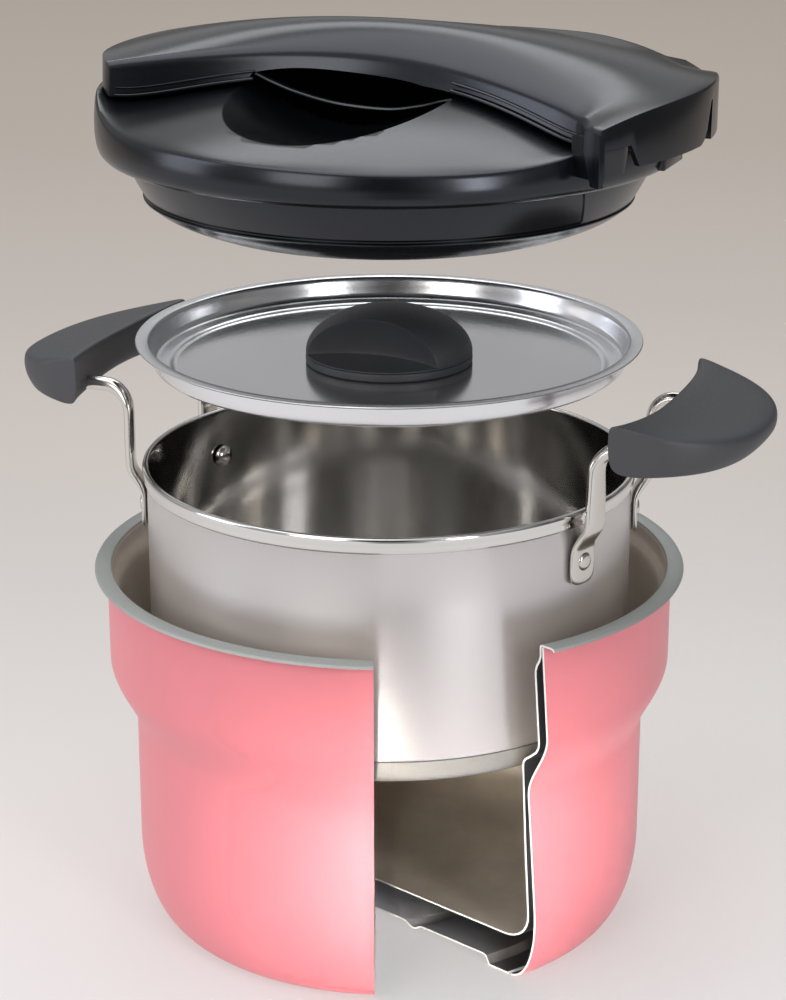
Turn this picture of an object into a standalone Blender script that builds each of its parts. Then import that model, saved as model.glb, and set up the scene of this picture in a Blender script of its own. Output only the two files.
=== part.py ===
"""Thermal cooker: a vacuum container cut open to show its walls, a cooking pot with two
handles, the pot's own lid and the outer lid, each lifted off along one upright axis.

The origin is on the axis, on the surface the container stands on. +Z is up, +X runs
through the right handle. All lengths are metres and all angles are degrees.
"""
import bmesh
import bpy
import math
from mathutils import Matrix, Vector

MM = 0.001

# Fits and resolution
GAP = 0.3 * MM
OVERRUN = 5 * MM
MERGE = 0.01 * MM
TURN_STEPS = 36
SMALL_STEPS = 20
PIN_STEPS = 12
SMOOTH_ANGLE = 40

# Vacuum container
METAL = 0.8 * MM
RIM_HEIGHT = 152 * MM
RIM_RADIUS = 120.6 * MM
RIM_CURL = 1.4 * MM
RIM_EDGE = 1.8 * MM
SHELL_UPPER_RADIUS = 115.3 * MM
SHELL_LOWER_RADIUS = 105 * MM
SHELL_STEP_TOP = 114 * MM
SHELL_STEP_BOTTOM = 84 * MM
FOOT_RADIUS = 91.2 * MM
FOOT_CURVE_HEIGHT = 34 * MM
LINER_UPPER_RADIUS = 110.5 * MM
LINER_BORE_RADIUS = 102.4 * MM
LINER_LOWER_RADIUS = 100.9 * MM
LINER_NECK_BOTTOM = 147.5 * MM
LINER_NECK_SLOPE = 7 * MM
LINER_LEDGE_TOP = 109.5 * MM
LINER_LEDGE_BOTTOM = 100 * MM
LINER_FLOOR = 19 * MM
LINER_CORNER = 12 * MM

# Base plate, getter and sealing plug
FOOT_RING_WIDTH = 10.5 * MM
BASE_RECESS = 4.2 * MM
BASE_RECESS_SLOPE = 1.4 * MM
BASE_GROOVE_RADIUS = 43 * MM
BASE_GROOVE_WIDTH = 7 * MM
BASE_GROOVE_DEPTH = 2.2 * MM
PORT_RADIUS = 3 * MM
SEAL_RADIUS = 7 * MM
SEAL_THICKNESS = 1.2 * MM
GETTER_RADIUS = 9 * MM
GETTER_THICKNESS = 3 * MM
GETTER_OFFSET = 62 * MM
GETTER_ANGLE = 120

# Display cut through the container, seen from the viewer's side
CUT_LEFT_ANGLE = 292
CUT_LEFT_OFFSET = 5.8 * MM
CUT_RIGHT_ANGLE = 340
CUT_RIGHT_OFFSET = 24.2 * MM
CUT_RIGHT_LEAN = 4.2

# Cooking pot
POT_RADIUS = 98.2 * MM
POT_WALL = 0.8 * MM
POT_HEIGHT = 100 * MM
POT_RIM_RADIUS = 100 * MM
POT_BEAD_HEIGHT = 6.4 * MM
POT_BEAD_ROUND = 1.2 * MM
POT_INNER_CORNER = 9 * MM
POT_BASE = 9 * MM
POT_CAP_ROUND = 3 * MM
POT_CAP_INSET = 0.2 * MM
POT_LIFT = 65.4 * MM

# Pot handles
LEG_ANGLE = 17.5
ROD_RADIUS = 3 * MM
ROD_RISE = 26.4 * MM
ROD_BEND = 10 * MM
ROD_SEAT = 12 * MM
LEG_RADIUS = 105.4 * MM
STRAP_WIDTH = 9 * MM
STRAP_THICKNESS = 4 * MM
PLATE_WIDTH = 11.5 * MM
PLATE_THICKNESS = 2.4 * MM
PLATE_TOP_DROP = 14.5 * MM
PLATE_BOTTOM_DROP = 29.7 * MM
JOGGLE_HEIGHT = 9 * MM
JOGGLE_LEAN = 30
RIVET_DROP = 20.6 * MM
RIVET_SHANK = 2 * MM
RIVET_HEAD = 3.6 * MM
RIVET_HEAD_HEIGHT = 1.4 * MM
RIVET_DOME_HEIGHT = 1.9 * MM
GRIP_INNER_MIDDLE = 118.5 * MM
GRIP_INNER_TIP = 113 * MM
GRIP_OUTER = 157 * MM
GRIP_HALF_LENGTH = 52 * MM
GRIP_TIP_WIDTH = 13 * MM
GRIP_TIP_SKEW = 3 * MM
GRIP_TOP_RISE = 40.7 * MM
GRIP_TOP_FALL = 7 * MM
GRIP_TIP_HEIGHT = 19.5 * MM
GRIP_MIDDLE_HEIGHT = 13 * MM
GRIP_ROUND = 2 * MM
GRIP_TAPER = 5 * MM
GRIP_STATIONS = 12
SCREW_RADIUS = 1.2 * MM
SCREW_LENGTH = 7 * MM
SCREW_DROP = 5.2 * MM

# Inner lid
PAN_RADIUS = 101.5 * MM
PAN_METAL = 0.8 * MM
PAN_FLANGE = 5.3 * MM
PAN_MOUTH_ROUND = 1.2 * MM
PAN_BOTTOM_RADIUS = 92.6 * MM
PAN_DEPTH = 10.8 * MM
PAN_STEP_RADIUS = 87 * MM
PAN_STEP = 1.4 * MM
INNER_LID_LIFT = 50 * MM
KNOB_RADIUS = 33.5 * MM
KNOB_HEIGHT = 22.3 * MM
KNOB_BASE_HEIGHT = 3 * MM
KNOB_GROOVE = 0.8 * MM
KNOB_SCOOP_OFFSET = 31 * MM
KNOB_SCOOP_LENGTH = 31 * MM
KNOB_SCOOP_REACH = 23 * MM
KNOB_SCOOP_DEPTH = 17.5 * MM
KNOB_SCREW_RADIUS = 2 * MM
KNOB_SCREW_HEAD = 4.2 * MM
KNOB_SCREW_HEAD_HEIGHT = 2.4 * MM
KNOB_SCREW_REACH = 9 * MM
WASHER_RADIUS = 7.5 * MM
WASHER_THICKNESS = 1 * MM

# Outer lid, with its heights measured from the cover's lower edge
LID_GAP_CLOSED = 3 * MM
OUTER_LID_LIFT = 46.2 * MM
LID_WALL = 2.5 * MM
COVER_EDGE_RADIUS = 104.4 * MM
COVER_BULGE_RADIUS = 114.3 * MM
COVER_BULGE_HEIGHT = 8.9 * MM
COVER_TOP_RADIUS = 112 * MM
COVER_TOP_HEIGHT = 14 * MM
COVER_END_RISE = 7.5 * MM
COVER_FOLD_RADIUS = 112 * MM
COVER_FOLD_HEIGHT = 3.6 * MM
COVER_CROWN_HEIGHT = 32 * MM
SCOOP_OFFSET = 52 * MM
SCOOP_HALF_WIDTH = 40 * MM
SCOOP_HALF_LENGTH = 47 * MM
SCOOP_DEPTH = 13.5 * MM
PLUG_TOP_RADIUS = 103.2 * MM
PLUG_RADIUS = 95.6 * MM
PLUG_SIDE_RADIUS = 100.4 * MM
PLUG_SIDE_DEPTH = 8 * MM
PLUG_DEPTH = 24.8 * MM
PLUG_LINE = 15.7 * MM
PLUG_STEP = 1.2 * MM
PLUG_BOTTOM_RADIUS = 79 * MM
PLUG_COLLAR_HEIGHT = 1.6 * MM
RECESS_RADIUS = 56 * MM
RECESS_DEPTH = 14.9 * MM
RECESS_SLOPE = 5 * MM
FOAM_TOP = 11 * MM
FOAM_SHOULDER = 3.5 * MM
BAND_WAIST = 24 * MM
BAND_FLARE_RADIUS = 160 * MM
BAND_LEFT_REACH = 111.5 * MM
BAND_RIGHT_REACH = 127 * MM
BAND_CROWN = 51.5 * MM
BAND_FALL_ALONG = 18.5 * MM
BAND_EDGE = 39.3 * MM
BAND_EDGE_LEAN = 0.046
BAND_EDGE_FALL = 13.9 * MM
BAND_REAR_RISE = 8 * MM
BAND_REAR_FALL = 26 * MM
BAND_CORNER = 27 * MM
BAND_WALL = 3 * MM
BAND_STATIONS = 18
BAND_STATIONS_ACROSS = 8
WING_CLEARANCE = 2 * MM
WING_SKIRT_HEIGHT = 12.1 * MM
WING_HALF_ANGLE = 32.5
EYE_HALF_LENGTH = 41 * MM
EYE_HALF_HEIGHT = 7 * MM
EYE_HEIGHT = 28 * MM
NOTCH_ANGLE = 26.3
NOTCH_WIDTH = 16.5 * MM
NOTCH_TOP = 20 * MM
TAB_INNER = 101 * MM
TAB_OUTER = 115 * MM
TAB_HALF_WIDTH = 34 * MM
TAB_BOTTOM = 3 * MM
TAB_TOP = 7.5 * MM

# Heights that follow from the sizes above, with the lids lifted off
POT_CLOSED_Z = RIM_HEIGHT + GAP + ROD_RADIUS - ROD_RISE - POT_HEIGHT
POT_Z = POT_CLOSED_Z + POT_LIFT
POT_RIM_Z = POT_Z + POT_HEIGHT
PAN_Z = POT_RIM_Z + GAP + PAN_METAL + INNER_LID_LIFT
LID_Z = PAN_Z + LID_GAP_CLOSED + PLUG_DEPTH + OUTER_LID_LIFT


def direction(angle):
    """A level unit vector at an angle from +X."""
    return Vector((math.cos(math.radians(angle)), math.sin(math.radians(angle)), 0))


def mix(start, end, share):
    return start + (end - start) * share


def smooth(share):
    """Ease in and out between nought and one."""
    share = min(max(share, 0), 1)
    return share * share * (3 - 2 * share)


def arc(radius, height, width, rise, start, end, count):
    """Points of an ellipse's arc about (radius, height), as radius and height pairs."""
    points = []
    for index in range(count + 1):
        angle = math.radians(mix(start, end, index / count))
        points.append((radius + width * math.cos(angle), height + rise * math.sin(angle)))
    return points


def material(name, colour, roughness, metallic):
    made = bpy.data.materials.new(name)
    made.use_nodes = True
    shader = made.node_tree.nodes["Principled BSDF"]
    shader.inputs["Base Color"].default_value = (*colour, 1)
    shader.inputs["Roughness"].default_value = roughness
    shader.inputs["Metallic"].default_value = metallic
    made.diffuse_color = (*colour, 1)
    return made


def place(name, mesh, finish, collection, height=0):
    """Put a mesh in the scene as one named sub-part, shaded smooth where it is round."""
    piece = bpy.data.objects.new(name, mesh)
    piece.location.z = height
    if finish:
        mesh.materials.append(finish)
    mesh.shade_smooth()
    mesh.set_sharp_from_angle(angle=math.radians(SMOOTH_ANGLE))
    collection.objects.link(piece)
    return piece


def mesh_from(name, shape):
    mesh = bpy.data.meshes.new(name)
    shape.to_mesh(mesh)
    shape.free()
    return mesh


def turned(name, profile, finish, collection, height=0, closed=False, wall=0, side=-1, steps=TURN_STEPS):
    """Turn a profile about Z. An open one gets a wall, on the side that is asked for."""
    shape = bmesh.new()
    points = [shape.verts.new((radius, 0, level)) for radius, level in profile]
    for start, end in zip(points, points[1:]):
        shape.edges.new((start, end))
    if closed:
        shape.edges.new((points[-1], points[0]))
    piece = place(name, mesh_from(name, shape), finish, collection, height)
    screw = piece.modifiers.new("Turn", "SCREW")
    screw.steps = steps
    screw.render_steps = steps
    screw.use_merge_vertices = True
    screw.merge_threshold = MERGE
    screw.use_smooth_shade = True
    if wall:
        thicken(piece, wall, side)
    return piece


def thicken(piece, wall, side):
    solid = piece.modifiers.new("Wall", "SOLIDIFY")
    solid.thickness = wall
    solid.offset = side
    solid.use_even_offset = True
    return solid


def cylinder(name, radius, depth, finish, collection, sides=TURN_STEPS):
    """An upright cylinder whose lower face is at height nought."""
    shape = bmesh.new()
    bmesh.ops.create_cone(shape, cap_ends=True, segments=sides, radius1=radius, radius2=radius, depth=depth)
    bmesh.ops.translate(shape, verts=shape.verts, vec=(0, 0, depth / 2))
    return place(name, mesh_from(name, shape), finish, collection)


def box(name, size, centre, finish, collection):
    shape = bmesh.new()
    bmesh.ops.create_cube(shape, size=1)
    bmesh.ops.scale(shape, verts=shape.verts, vec=size)
    bmesh.ops.translate(shape, verts=shape.verts, vec=centre)
    return place(name, mesh_from(name, shape), finish, collection)


def ellipsoid(name, radii, centre, collection):
    shape = bmesh.new()
    bmesh.ops.create_uvsphere(shape, u_segments=SMALL_STEPS, v_segments=PIN_STEPS, radius=1)
    bmesh.ops.scale(shape, verts=shape.verts, vec=radii)
    bmesh.ops.translate(shape, verts=shape.verts, vec=centre)
    return place(name, mesh_from(name, shape), None, collection)


def hide(cutter):
    cutter.hide_render = True
    cutter.display_type = "WIRE"
    return cutter


def boolean(piece, other, operation):
    cut = piece.modifiers.new(other.name, "BOOLEAN")
    cut.operation = operation
    cut.solver = "EXACT"
    cut.object = hide(other)
    return cut


def loft(name, sections, finish, collection, height=0):
    """Skin a closed solid over rings of points that all have the same count."""
    shape = bmesh.new()
    rings = [[shape.verts.new(point) for point in section] for section in sections]
    count = len(rings[0])
    for lower, upper in zip(rings, rings[1:]):
        for index in range(count):
            after = (index + 1) % count
            shape.faces.new((lower[index], lower[after], upper[after], upper[index]))
    shape.faces.new(reversed(rings[0]))
    shape.faces.new(rings[-1])
    bmesh.ops.recalc_face_normals(shape, faces=shape.faces)
    return place(name, mesh_from(name, shape), finish, collection, height)


def radial(piece, angle, radius, height):
    """Turn an upright piece so that it points outwards at an angle, and move it there."""
    where = direction(angle) * radius + Vector((0, 0, height))
    turn = Matrix.Rotation(math.radians(angle), 4, "Z") @ Matrix.Rotation(math.radians(90), 4, "Y")
    piece.matrix_world = Matrix.Translation(where) @ turn
    return piece


def display_cut(cutters):
    """The wedge that is cut out of the container: a block trimmed by two upright planes."""
    reach = RIM_RADIUS + OVERRUN
    shape = bmesh.new()
    bmesh.ops.create_cube(shape, size=1)
    size = (4 * reach, 4 * reach, RIM_HEIGHT + 2 * OVERRUN)
    bmesh.ops.scale(shape, verts=shape.verts, vec=size)
    bmesh.ops.translate(shape, verts=shape.verts, vec=(0, 0, RIM_HEIGHT / 2))
    right_normal = direction(CUT_RIGHT_ANGLE + 90)
    right_normal.rotate(Matrix.Rotation(math.radians(CUT_RIGHT_LEAN), 3, direction(CUT_RIGHT_ANGLE)))
    planes = (
        (direction(CUT_LEFT_ANGLE + 90), CUT_LEFT_OFFSET, -1),
        (right_normal, CUT_RIGHT_OFFSET, 1),
    )
    for normal, offset, side in planes:
        everything = shape.verts[:] + shape.edges[:] + shape.faces[:]
        point = normal * -offset
        done = bmesh.ops.bisect_plane(
            shape, geom=everything, plane_co=point, plane_no=normal * side, clear_outer=True
        )
        rim = [item for item in done["geom_cut"] if isinstance(item, bmesh.types.BMEdge)]
        bmesh.ops.edgenet_fill(shape, edges=rim)
    bmesh.ops.recalc_face_normals(shape, faces=shape.faces)
    return hide(place("display_cut", mesh_from("display_cut", shape), None, cutters))


def shell_profile():
    """The outside of the container from its top down to the foot."""
    top = RIM_HEIGHT - METAL - GAP
    points = [(SHELL_UPPER_RADIUS, top), (SHELL_UPPER_RADIUS, SHELL_STEP_TOP)]
    steps = 4
    for index in range(1, steps):
        share = index / steps
        radius = mix(SHELL_UPPER_RADIUS, SHELL_LOWER_RADIUS, smooth(share))
        points.append((radius, mix(SHELL_STEP_TOP, SHELL_STEP_BOTTOM, share)))
    points.append((SHELL_LOWER_RADIUS, SHELL_STEP_BOTTOM))
    width = SHELL_LOWER_RADIUS - FOOT_RADIUS
    points += arc(FOOT_RADIUS, FOOT_CURVE_HEIGHT, width, FOOT_CURVE_HEIGHT, 0, -90, 5)
    return points


def liner_profile():
    """The side of the liner that shows: over the rim, down the two bores, and the floor."""
    mouth = SHELL_UPPER_RADIUS - METAL - GAP - METAL
    slope_bottom = LINER_NECK_BOTTOM - LINER_NECK_SLOPE
    ledge_middle = mix(LINER_LEDGE_TOP, LINER_LEDGE_BOTTOM, 0.5)
    ledge_radius = mix(LINER_UPPER_RADIUS, LINER_BORE_RADIUS, 0.3)
    points = [
        (RIM_RADIUS, RIM_HEIGHT - RIM_CURL),
        (RIM_RADIUS - RIM_EDGE, RIM_HEIGHT),
        (mouth + METAL, RIM_HEIGHT),
        (mouth, RIM_HEIGHT - METAL),
        (mouth, LINER_NECK_BOTTOM),
        (LINER_UPPER_RADIUS, slope_bottom),
        (LINER_UPPER_RADIUS, LINER_LEDGE_TOP),
        (ledge_radius, ledge_middle),
        (LINER_BORE_RADIUS, LINER_LEDGE_BOTTOM),
    ]
    centre = LINER_LOWER_RADIUS - LINER_CORNER
    points += arc(centre, LINER_FLOOR + LINER_CORNER, LINER_CORNER, LINER_CORNER, 0, -90, 3)
    points.append((0, LINER_FLOOR))
    return points


def base_profile():
    """The underside of the base plate, from the foot ring to the centre port."""
    outer = FOOT_RADIUS - METAL
    ring = outer - FOOT_RING_WIDTH
    groove_in = BASE_GROOVE_RADIUS - BASE_GROOVE_WIDTH / 2
    groove_out = BASE_GROOVE_RADIUS + BASE_GROOVE_WIDTH / 2
    return [
        (outer, 0),
        (ring, 0),
        (ring - BASE_RECESS_SLOPE, BASE_RECESS),
        (groove_out, BASE_RECESS),
        (BASE_GROOVE_RADIUS, BASE_RECESS - BASE_GROOVE_DEPTH),
        (groove_in, BASE_RECESS),
        (PORT_RADIUS, BASE_RECESS),
    ]


def make_container(parts, cutters, finishes):
    wedge = display_cut(cutters)
    shell = turned("outer_shell", shell_profile(), finishes["paint"], parts, wall=METAL)
    liner = turned("liner", liner_profile(), finishes["liner"], parts, wall=METAL, side=1)
    base = turned("base_plate", base_profile(), finishes["steel"], parts, wall=METAL)
    for piece in (shell, liner, base):
        boolean(piece, wedge, "DIFFERENCE")
    seal = cylinder("vacuum_seal", SEAL_RADIUS, SEAL_THICKNESS, finishes["steel"], parts, SMALL_STEPS)
    seal.location.z = BASE_RECESS - GAP - SEAL_THICKNESS
    getter = cylinder("getter", GETTER_RADIUS, GETTER_THICKNESS, finishes["steel"], parts, SMALL_STEPS)
    getter.location = direction(GETTER_ANGLE) * GETTER_OFFSET
    getter.location.z = BASE_RECESS + METAL + GAP


def pot_profile():
    """The side of the pot that shows: up the rolled rim, over it and down the inside."""
    inner = POT_RADIUS - POT_WALL
    top = POT_HEIGHT
    floor = POT_BASE + POT_WALL
    centre = inner - POT_INNER_CORNER
    points = [
        (POT_RIM_RADIUS, top - POT_BEAD_HEIGHT),
        (POT_RIM_RADIUS, top - POT_BEAD_ROUND),
        (POT_RIM_RADIUS - POT_BEAD_ROUND, top),
        (inner, top),
    ]
    points += arc(centre, floor + POT_INNER_CORNER, POT_INNER_CORNER, POT_INNER_CORNER, 0, -90, 3)
    points.append((0, floor))
    return points


def make_pot(parts, cutters, finishes):
    pot = turned("pot_shell", pot_profile(), finishes["steel"], parts, POT_Z, wall=POT_WALL, side=1)
    cap_radius = POT_RADIUS - POT_CAP_INSET
    cap_top = POT_BASE - GAP
    centre = cap_radius - POT_CAP_ROUND
    profile = [(cap_radius, cap_top)]
    profile += arc(centre, POT_CAP_ROUND, POT_CAP_ROUND, POT_CAP_ROUND, 0, -90, 2)
    profile.append((0, 0))
    turned("pot_base_cap", profile, finishes["satin"], parts, POT_Z, wall=POT_WALL)
    core_radius = cap_radius - POT_CAP_ROUND
    core_bottom = POT_WALL + GAP
    core = cylinder("pot_core_disc", core_radius, cap_top - core_bottom, finishes["aluminium"], parts)
    core.location.z = POT_Z + core_bottom
    for side, turn in (("right", 0), ("left", 180)):
        make_handle(side, turn, pot, parts, cutters, finishes)


def leg_section(centre, along, across, width, thickness):
    """A rounded bar section of eight points, at right angles to the bar."""
    outwards = across.cross(along).normalized()
    points = []
    for index in range(8):
        angle = math.radians(45 * index + 22.5)
        reach = 1 / math.cos(math.radians(22.5))
        sideways = across * (width / 2 * reach * math.cos(angle))
        points.append(centre + sideways + outwards * (thickness / 2 * reach * math.sin(angle)))
    return points


def leg_stations(angle):
    """Places up one handle leg as (radius, rise, run along X, width, thickness, lean)."""
    rod = 2 * ROD_RADIUS
    plate = POT_RADIUS + GAP + PLATE_THICKNESS / 2
    bend_bottom = ROD_RISE - ROD_BEND
    joggle_top = -PLATE_TOP_DROP + JOGGLE_HEIGHT
    halfway = (mix(plate, LEG_RADIUS, 0.5), mix(-PLATE_TOP_DROP, joggle_top, 0.5))
    stations = [
        (plate, -PLATE_BOTTOM_DROP, 0, PLATE_WIDTH / 2, PLATE_THICKNESS, 0),
        (plate, -PLATE_BOTTOM_DROP + PLATE_WIDTH / 4, 0, PLATE_WIDTH, PLATE_THICKNESS, 0),
        (plate, -PLATE_TOP_DROP, 0, PLATE_WIDTH, PLATE_THICKNESS, 0),
        (*halfway, 0, STRAP_WIDTH, STRAP_THICKNESS, JOGGLE_LEAN),
        (LEG_RADIUS, joggle_top, 0, STRAP_WIDTH, STRAP_THICKNESS, 0),
        (LEG_RADIUS, bend_bottom, 0, STRAP_WIDTH * 0.9, STRAP_THICKNESS, 0),
    ]
    for index in range(1, 5):
        turn = 22.5 * index
        run = ROD_BEND * (1 - math.cos(math.radians(turn)))
        rise = bend_bottom + ROD_BEND * math.sin(math.radians(turn))
        share = index / 4
        width = mix(STRAP_WIDTH * 0.9, rod, share)
        stations.append((LEG_RADIUS, rise, run, width, mix(STRAP_THICKNESS, rod, share), turn))
    end = grip_inner(LEG_RADIUS * math.sin(math.radians(angle))) + ROD_SEAT - OVERRUN / 5
    reach = end - LEG_RADIUS * math.cos(math.radians(angle))
    stations.append((LEG_RADIUS, ROD_RISE, reach, rod, rod, 90))
    return stations


def make_leg(name, angle, handle_turn, finish, parts):
    """One handle leg: a riveted plate, a flattened strap, a bend, and a round end."""
    sections = []
    for radius, rise, run, width, thickness, lean in leg_stations(angle):
        share = min(run / ROD_BEND, 1)
        facing = angle * (1 - share)
        centre = direction(angle) * radius + Vector((run, 0, POT_RIM_Z + rise))
        lean = math.radians(lean)
        along = direction(facing) * math.sin(lean) + Vector((0, 0, math.cos(lean)))
        across = direction(facing + 90)
        sections.append(leg_section(centre, along, across, width, thickness))
    leg = loft(name, sections, finish, parts)
    leg.rotation_euler.z = math.radians(handle_turn)
    return leg


def grip_inner(offset):
    """How far the grip's inner face is from the axis, at a distance along the grip."""
    share = abs(offset) / GRIP_HALF_LENGTH
    return mix(GRIP_INNER_MIDDLE, GRIP_INNER_TIP, share * share)


def grip_section(along):
    """Section across the grip at a share of its half length, as X, Y, Z points."""
    share = abs(along)
    y = along * GRIP_HALF_LENGTH
    inner = grip_inner(y)
    tip = GRIP_INNER_TIP + GRIP_TIP_WIDTH
    outer = tip + (GRIP_OUTER - tip) * max(1 - share ** 2.4, 0) ** 0.75
    top = GRIP_TOP_RISE
    bottom = top - mix(GRIP_MIDDLE_HEIGHT, GRIP_TIP_HEIGHT, smooth(share * 1.25))
    fall = GRIP_TOP_FALL * (outer - inner) / (GRIP_OUTER - GRIP_INNER_MIDDLE)
    crease = top - fall
    back = -GRIP_TIP_SKEW * math.copysign(share ** 4, along)
    low = min(GRIP_TAPER, (outer - inner) / 4)
    ridge = mix(crease, bottom, 0.45)
    outline = [
        (inner, bottom + GRIP_ROUND),
        (inner, top - GRIP_ROUND),
        (inner + GRIP_ROUND, top),
        (outer - 2 * GRIP_ROUND, crease),
        (outer, crease - GRIP_ROUND),
        (outer, ridge),
        (outer - low, bottom + GRIP_ROUND),
        (outer - low - GRIP_ROUND, bottom),
        (inner + GRIP_ROUND, bottom),
    ]
    span = outer - inner
    return [Vector((x, y + back * (x - inner) / span, z)) for x, z in outline]


def make_grip(name, handle_turn, finish, parts):
    sections = []
    for index in range(GRIP_STATIONS + 1):
        along = math.sin(math.radians(90 * (2 * index / GRIP_STATIONS - 1)))
        sections.append(grip_section(along))
    grip = loft(name, sections, finish, parts, POT_RIM_Z)
    grip.rotation_euler.z = math.radians(handle_turn)
    return grip


def rivet_profile():
    """A rivet along its own axis: the domed head, the shank and the flat head."""
    dome = -POT_WALL - 2 * GAP
    plate = GAP + PLATE_THICKNESS + GAP
    hub = RIVET_HEAD / 3
    return [
        (0, plate + RIVET_HEAD_HEIGHT),
        (RIVET_HEAD - hub, plate + RIVET_HEAD_HEIGHT),
        (RIVET_HEAD, plate + RIVET_HEAD_HEIGHT / 3),
        (RIVET_HEAD, plate),
        (RIVET_SHANK, plate),
        (RIVET_SHANK, dome),
        (RIVET_HEAD, dome),
        (RIVET_HEAD - hub / 2, dome - RIVET_DOME_HEIGHT * 0.6),
        (0, dome - RIVET_DOME_HEIGHT),
    ]


def make_handle(side, handle_turn, pot, parts, cutters, finishes):
    """One pot handle: two riveted legs, the grip they run into, and its screws."""
    grip = make_grip("handle_grip_" + side, handle_turn, finishes["bakelite"], parts)
    for place_name, angle in (("front", -LEG_ANGLE), ("rear", LEG_ANGLE)):
        if handle_turn:
            place_name = "rear" if place_name == "front" else "front"
        label = side + "_" + place_name
        leg = make_leg("handle_leg_" + label, angle, handle_turn, finishes["rod"], parts)
        facing = angle + handle_turn
        hole = cylinder("rivet_hole_" + label, RIVET_SHANK + GAP, 4 * OVERRUN, None, cutters, PIN_STEPS)
        radial(hole, facing, POT_RADIUS - 2 * OVERRUN, POT_RIM_Z - RIVET_DROP)
        boolean(pot, hole, "DIFFERENCE")
        boolean(leg, hole, "DIFFERENCE")
        rivet = turned("handle_rivet_" + label, rivet_profile(), finishes["rod"], parts, steps=PIN_STEPS)
        radial(rivet, facing, POT_RADIUS, POT_RIM_Z - RIVET_DROP)
        across = LEG_RADIUS * math.sin(math.radians(angle))
        face = grip_inner(across)
        depth = ROD_SEAT + OVERRUN
        bore = cylinder("rod_bore_" + label, ROD_RADIUS + 2 * GAP, depth, None, cutters, PIN_STEPS)
        start = Vector((face - OVERRUN, across, POT_RIM_Z + ROD_RISE))
        lay_along_x(bore, start, handle_turn)
        boolean(grip, bore, "DIFFERENCE")
        depth = SCREW_LENGTH + OVERRUN
        pin_hole = cylinder("screw_hole_" + label, SCREW_RADIUS + GAP, depth, None, cutters, PIN_STEPS)
        low = POT_RIM_Z + ROD_RISE - SCREW_DROP
        lay_along_x(pin_hole, Vector((face - OVERRUN + GAP, across, low)), handle_turn)
        boolean(grip, pin_hole, "DIFFERENCE")
        length = SCREW_LENGTH - GAP
        pin = cylinder("grip_screw_" + label, SCREW_RADIUS, length, finishes["rod"], parts, PIN_STEPS)
        lay_along_x(pin, Vector((face + GAP, across, low)), handle_turn)


def lay_along_x(piece, start, handle_turn):
    """Lay an upright piece along +X from a start point, then turn it with its handle."""
    turn = Matrix.Rotation(math.radians(handle_turn), 4, "Z")
    lie = Matrix.Rotation(math.radians(90), 4, "Y")
    piece.matrix_world = turn @ Matrix.Translation(start) @ lie


def pan_profile():
    """The top side of the inner lid: flange, wall, one step and the flat middle."""
    mouth = PAN_RADIUS - PAN_FLANGE
    return [
        (PAN_RADIUS, 0),
        (mouth, 0),
        (mouth - PAN_MOUTH_ROUND, -PAN_MOUTH_ROUND),
        (PAN_BOTTOM_RADIUS + PAN_MOUTH_ROUND, -PAN_DEPTH + 2 * PAN_MOUTH_ROUND),
        (PAN_BOTTOM_RADIUS - PAN_MOUTH_ROUND, -PAN_DEPTH + PAN_STEP),
        (PAN_STEP_RADIUS, -PAN_DEPTH + PAN_STEP),
        (PAN_STEP_RADIUS - PAN_STEP, -PAN_DEPTH),
        (KNOB_SCREW_RADIUS + GAP, -PAN_DEPTH),
    ]


def knob_profile():
    """The knob before its scoops are cut: a low base, a groove line and a dome."""
    waist = KNOB_RADIUS - KNOB_GROOVE
    dome_height = KNOB_HEIGHT - KNOB_BASE_HEIGHT - KNOB_GROOVE
    points = arc(0, KNOB_BASE_HEIGHT + KNOB_GROOVE, KNOB_RADIUS, dome_height, 90, 0, 6)
    return points + [
        (waist, KNOB_BASE_HEIGHT + KNOB_GROOVE / 2),
        (KNOB_RADIUS, KNOB_BASE_HEIGHT),
        (KNOB_RADIUS, 0),
        (0, 0),
    ]


def make_inner_lid(parts, cutters, finishes):
    turned("inner_lid_pan", pan_profile(), finishes["mirror"], parts, PAN_Z, wall=PAN_METAL, side=1)
    floor = PAN_Z - PAN_DEPTH
    knob = turned("lid_knob", knob_profile(), finishes["bakelite"], parts, floor + GAP)
    for side in (-1, 1):
        radii = (KNOB_SCOOP_LENGTH, KNOB_SCOOP_REACH, KNOB_SCOOP_DEPTH)
        centre = (0, side * KNOB_SCOOP_OFFSET, floor + KNOB_BASE_HEIGHT + KNOB_SCOOP_DEPTH)
        boolean(knob, ellipsoid("knob_scoop", radii, centre, cutters), "DIFFERENCE")
    depth = KNOB_SCREW_REACH + OVERRUN
    bore = cylinder("knob_bore", KNOB_SCREW_RADIUS + GAP, depth, None, cutters, PIN_STEPS)
    bore.location.z = floor - OVERRUN + GAP
    boolean(knob, bore, "DIFFERENCE")
    under = floor - PAN_METAL - GAP
    washer = [
        (WASHER_RADIUS, 0),
        (WASHER_RADIUS, -WASHER_THICKNESS),
        (KNOB_SCREW_RADIUS + GAP, -WASHER_THICKNESS),
        (KNOB_SCREW_RADIUS + GAP, 0),
    ]
    turned("knob_washer", washer, finishes["rod"], parts, under, closed=True, steps=SMALL_STEPS)
    head = under - WASHER_THICKNESS - GAP
    reach = floor - head + KNOB_SCREW_REACH
    screw = [
        (0, reach),
        (KNOB_SCREW_RADIUS, reach),
        (KNOB_SCREW_RADIUS, 0),
        (KNOB_SCREW_HEAD, 0),
        (KNOB_SCREW_HEAD - GAP, -KNOB_SCREW_HEAD_HEIGHT),
        (0, -KNOB_SCREW_HEAD_HEIGHT),
    ]
    turned("knob_screw", screw, finishes["rod"], parts, head, steps=SMALL_STEPS)


def end_rise(x):
    """How much higher the cover's edge is towards the band's two ends."""
    return COVER_END_RISE * (x / COVER_TOP_RADIUS) ** 2


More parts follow.
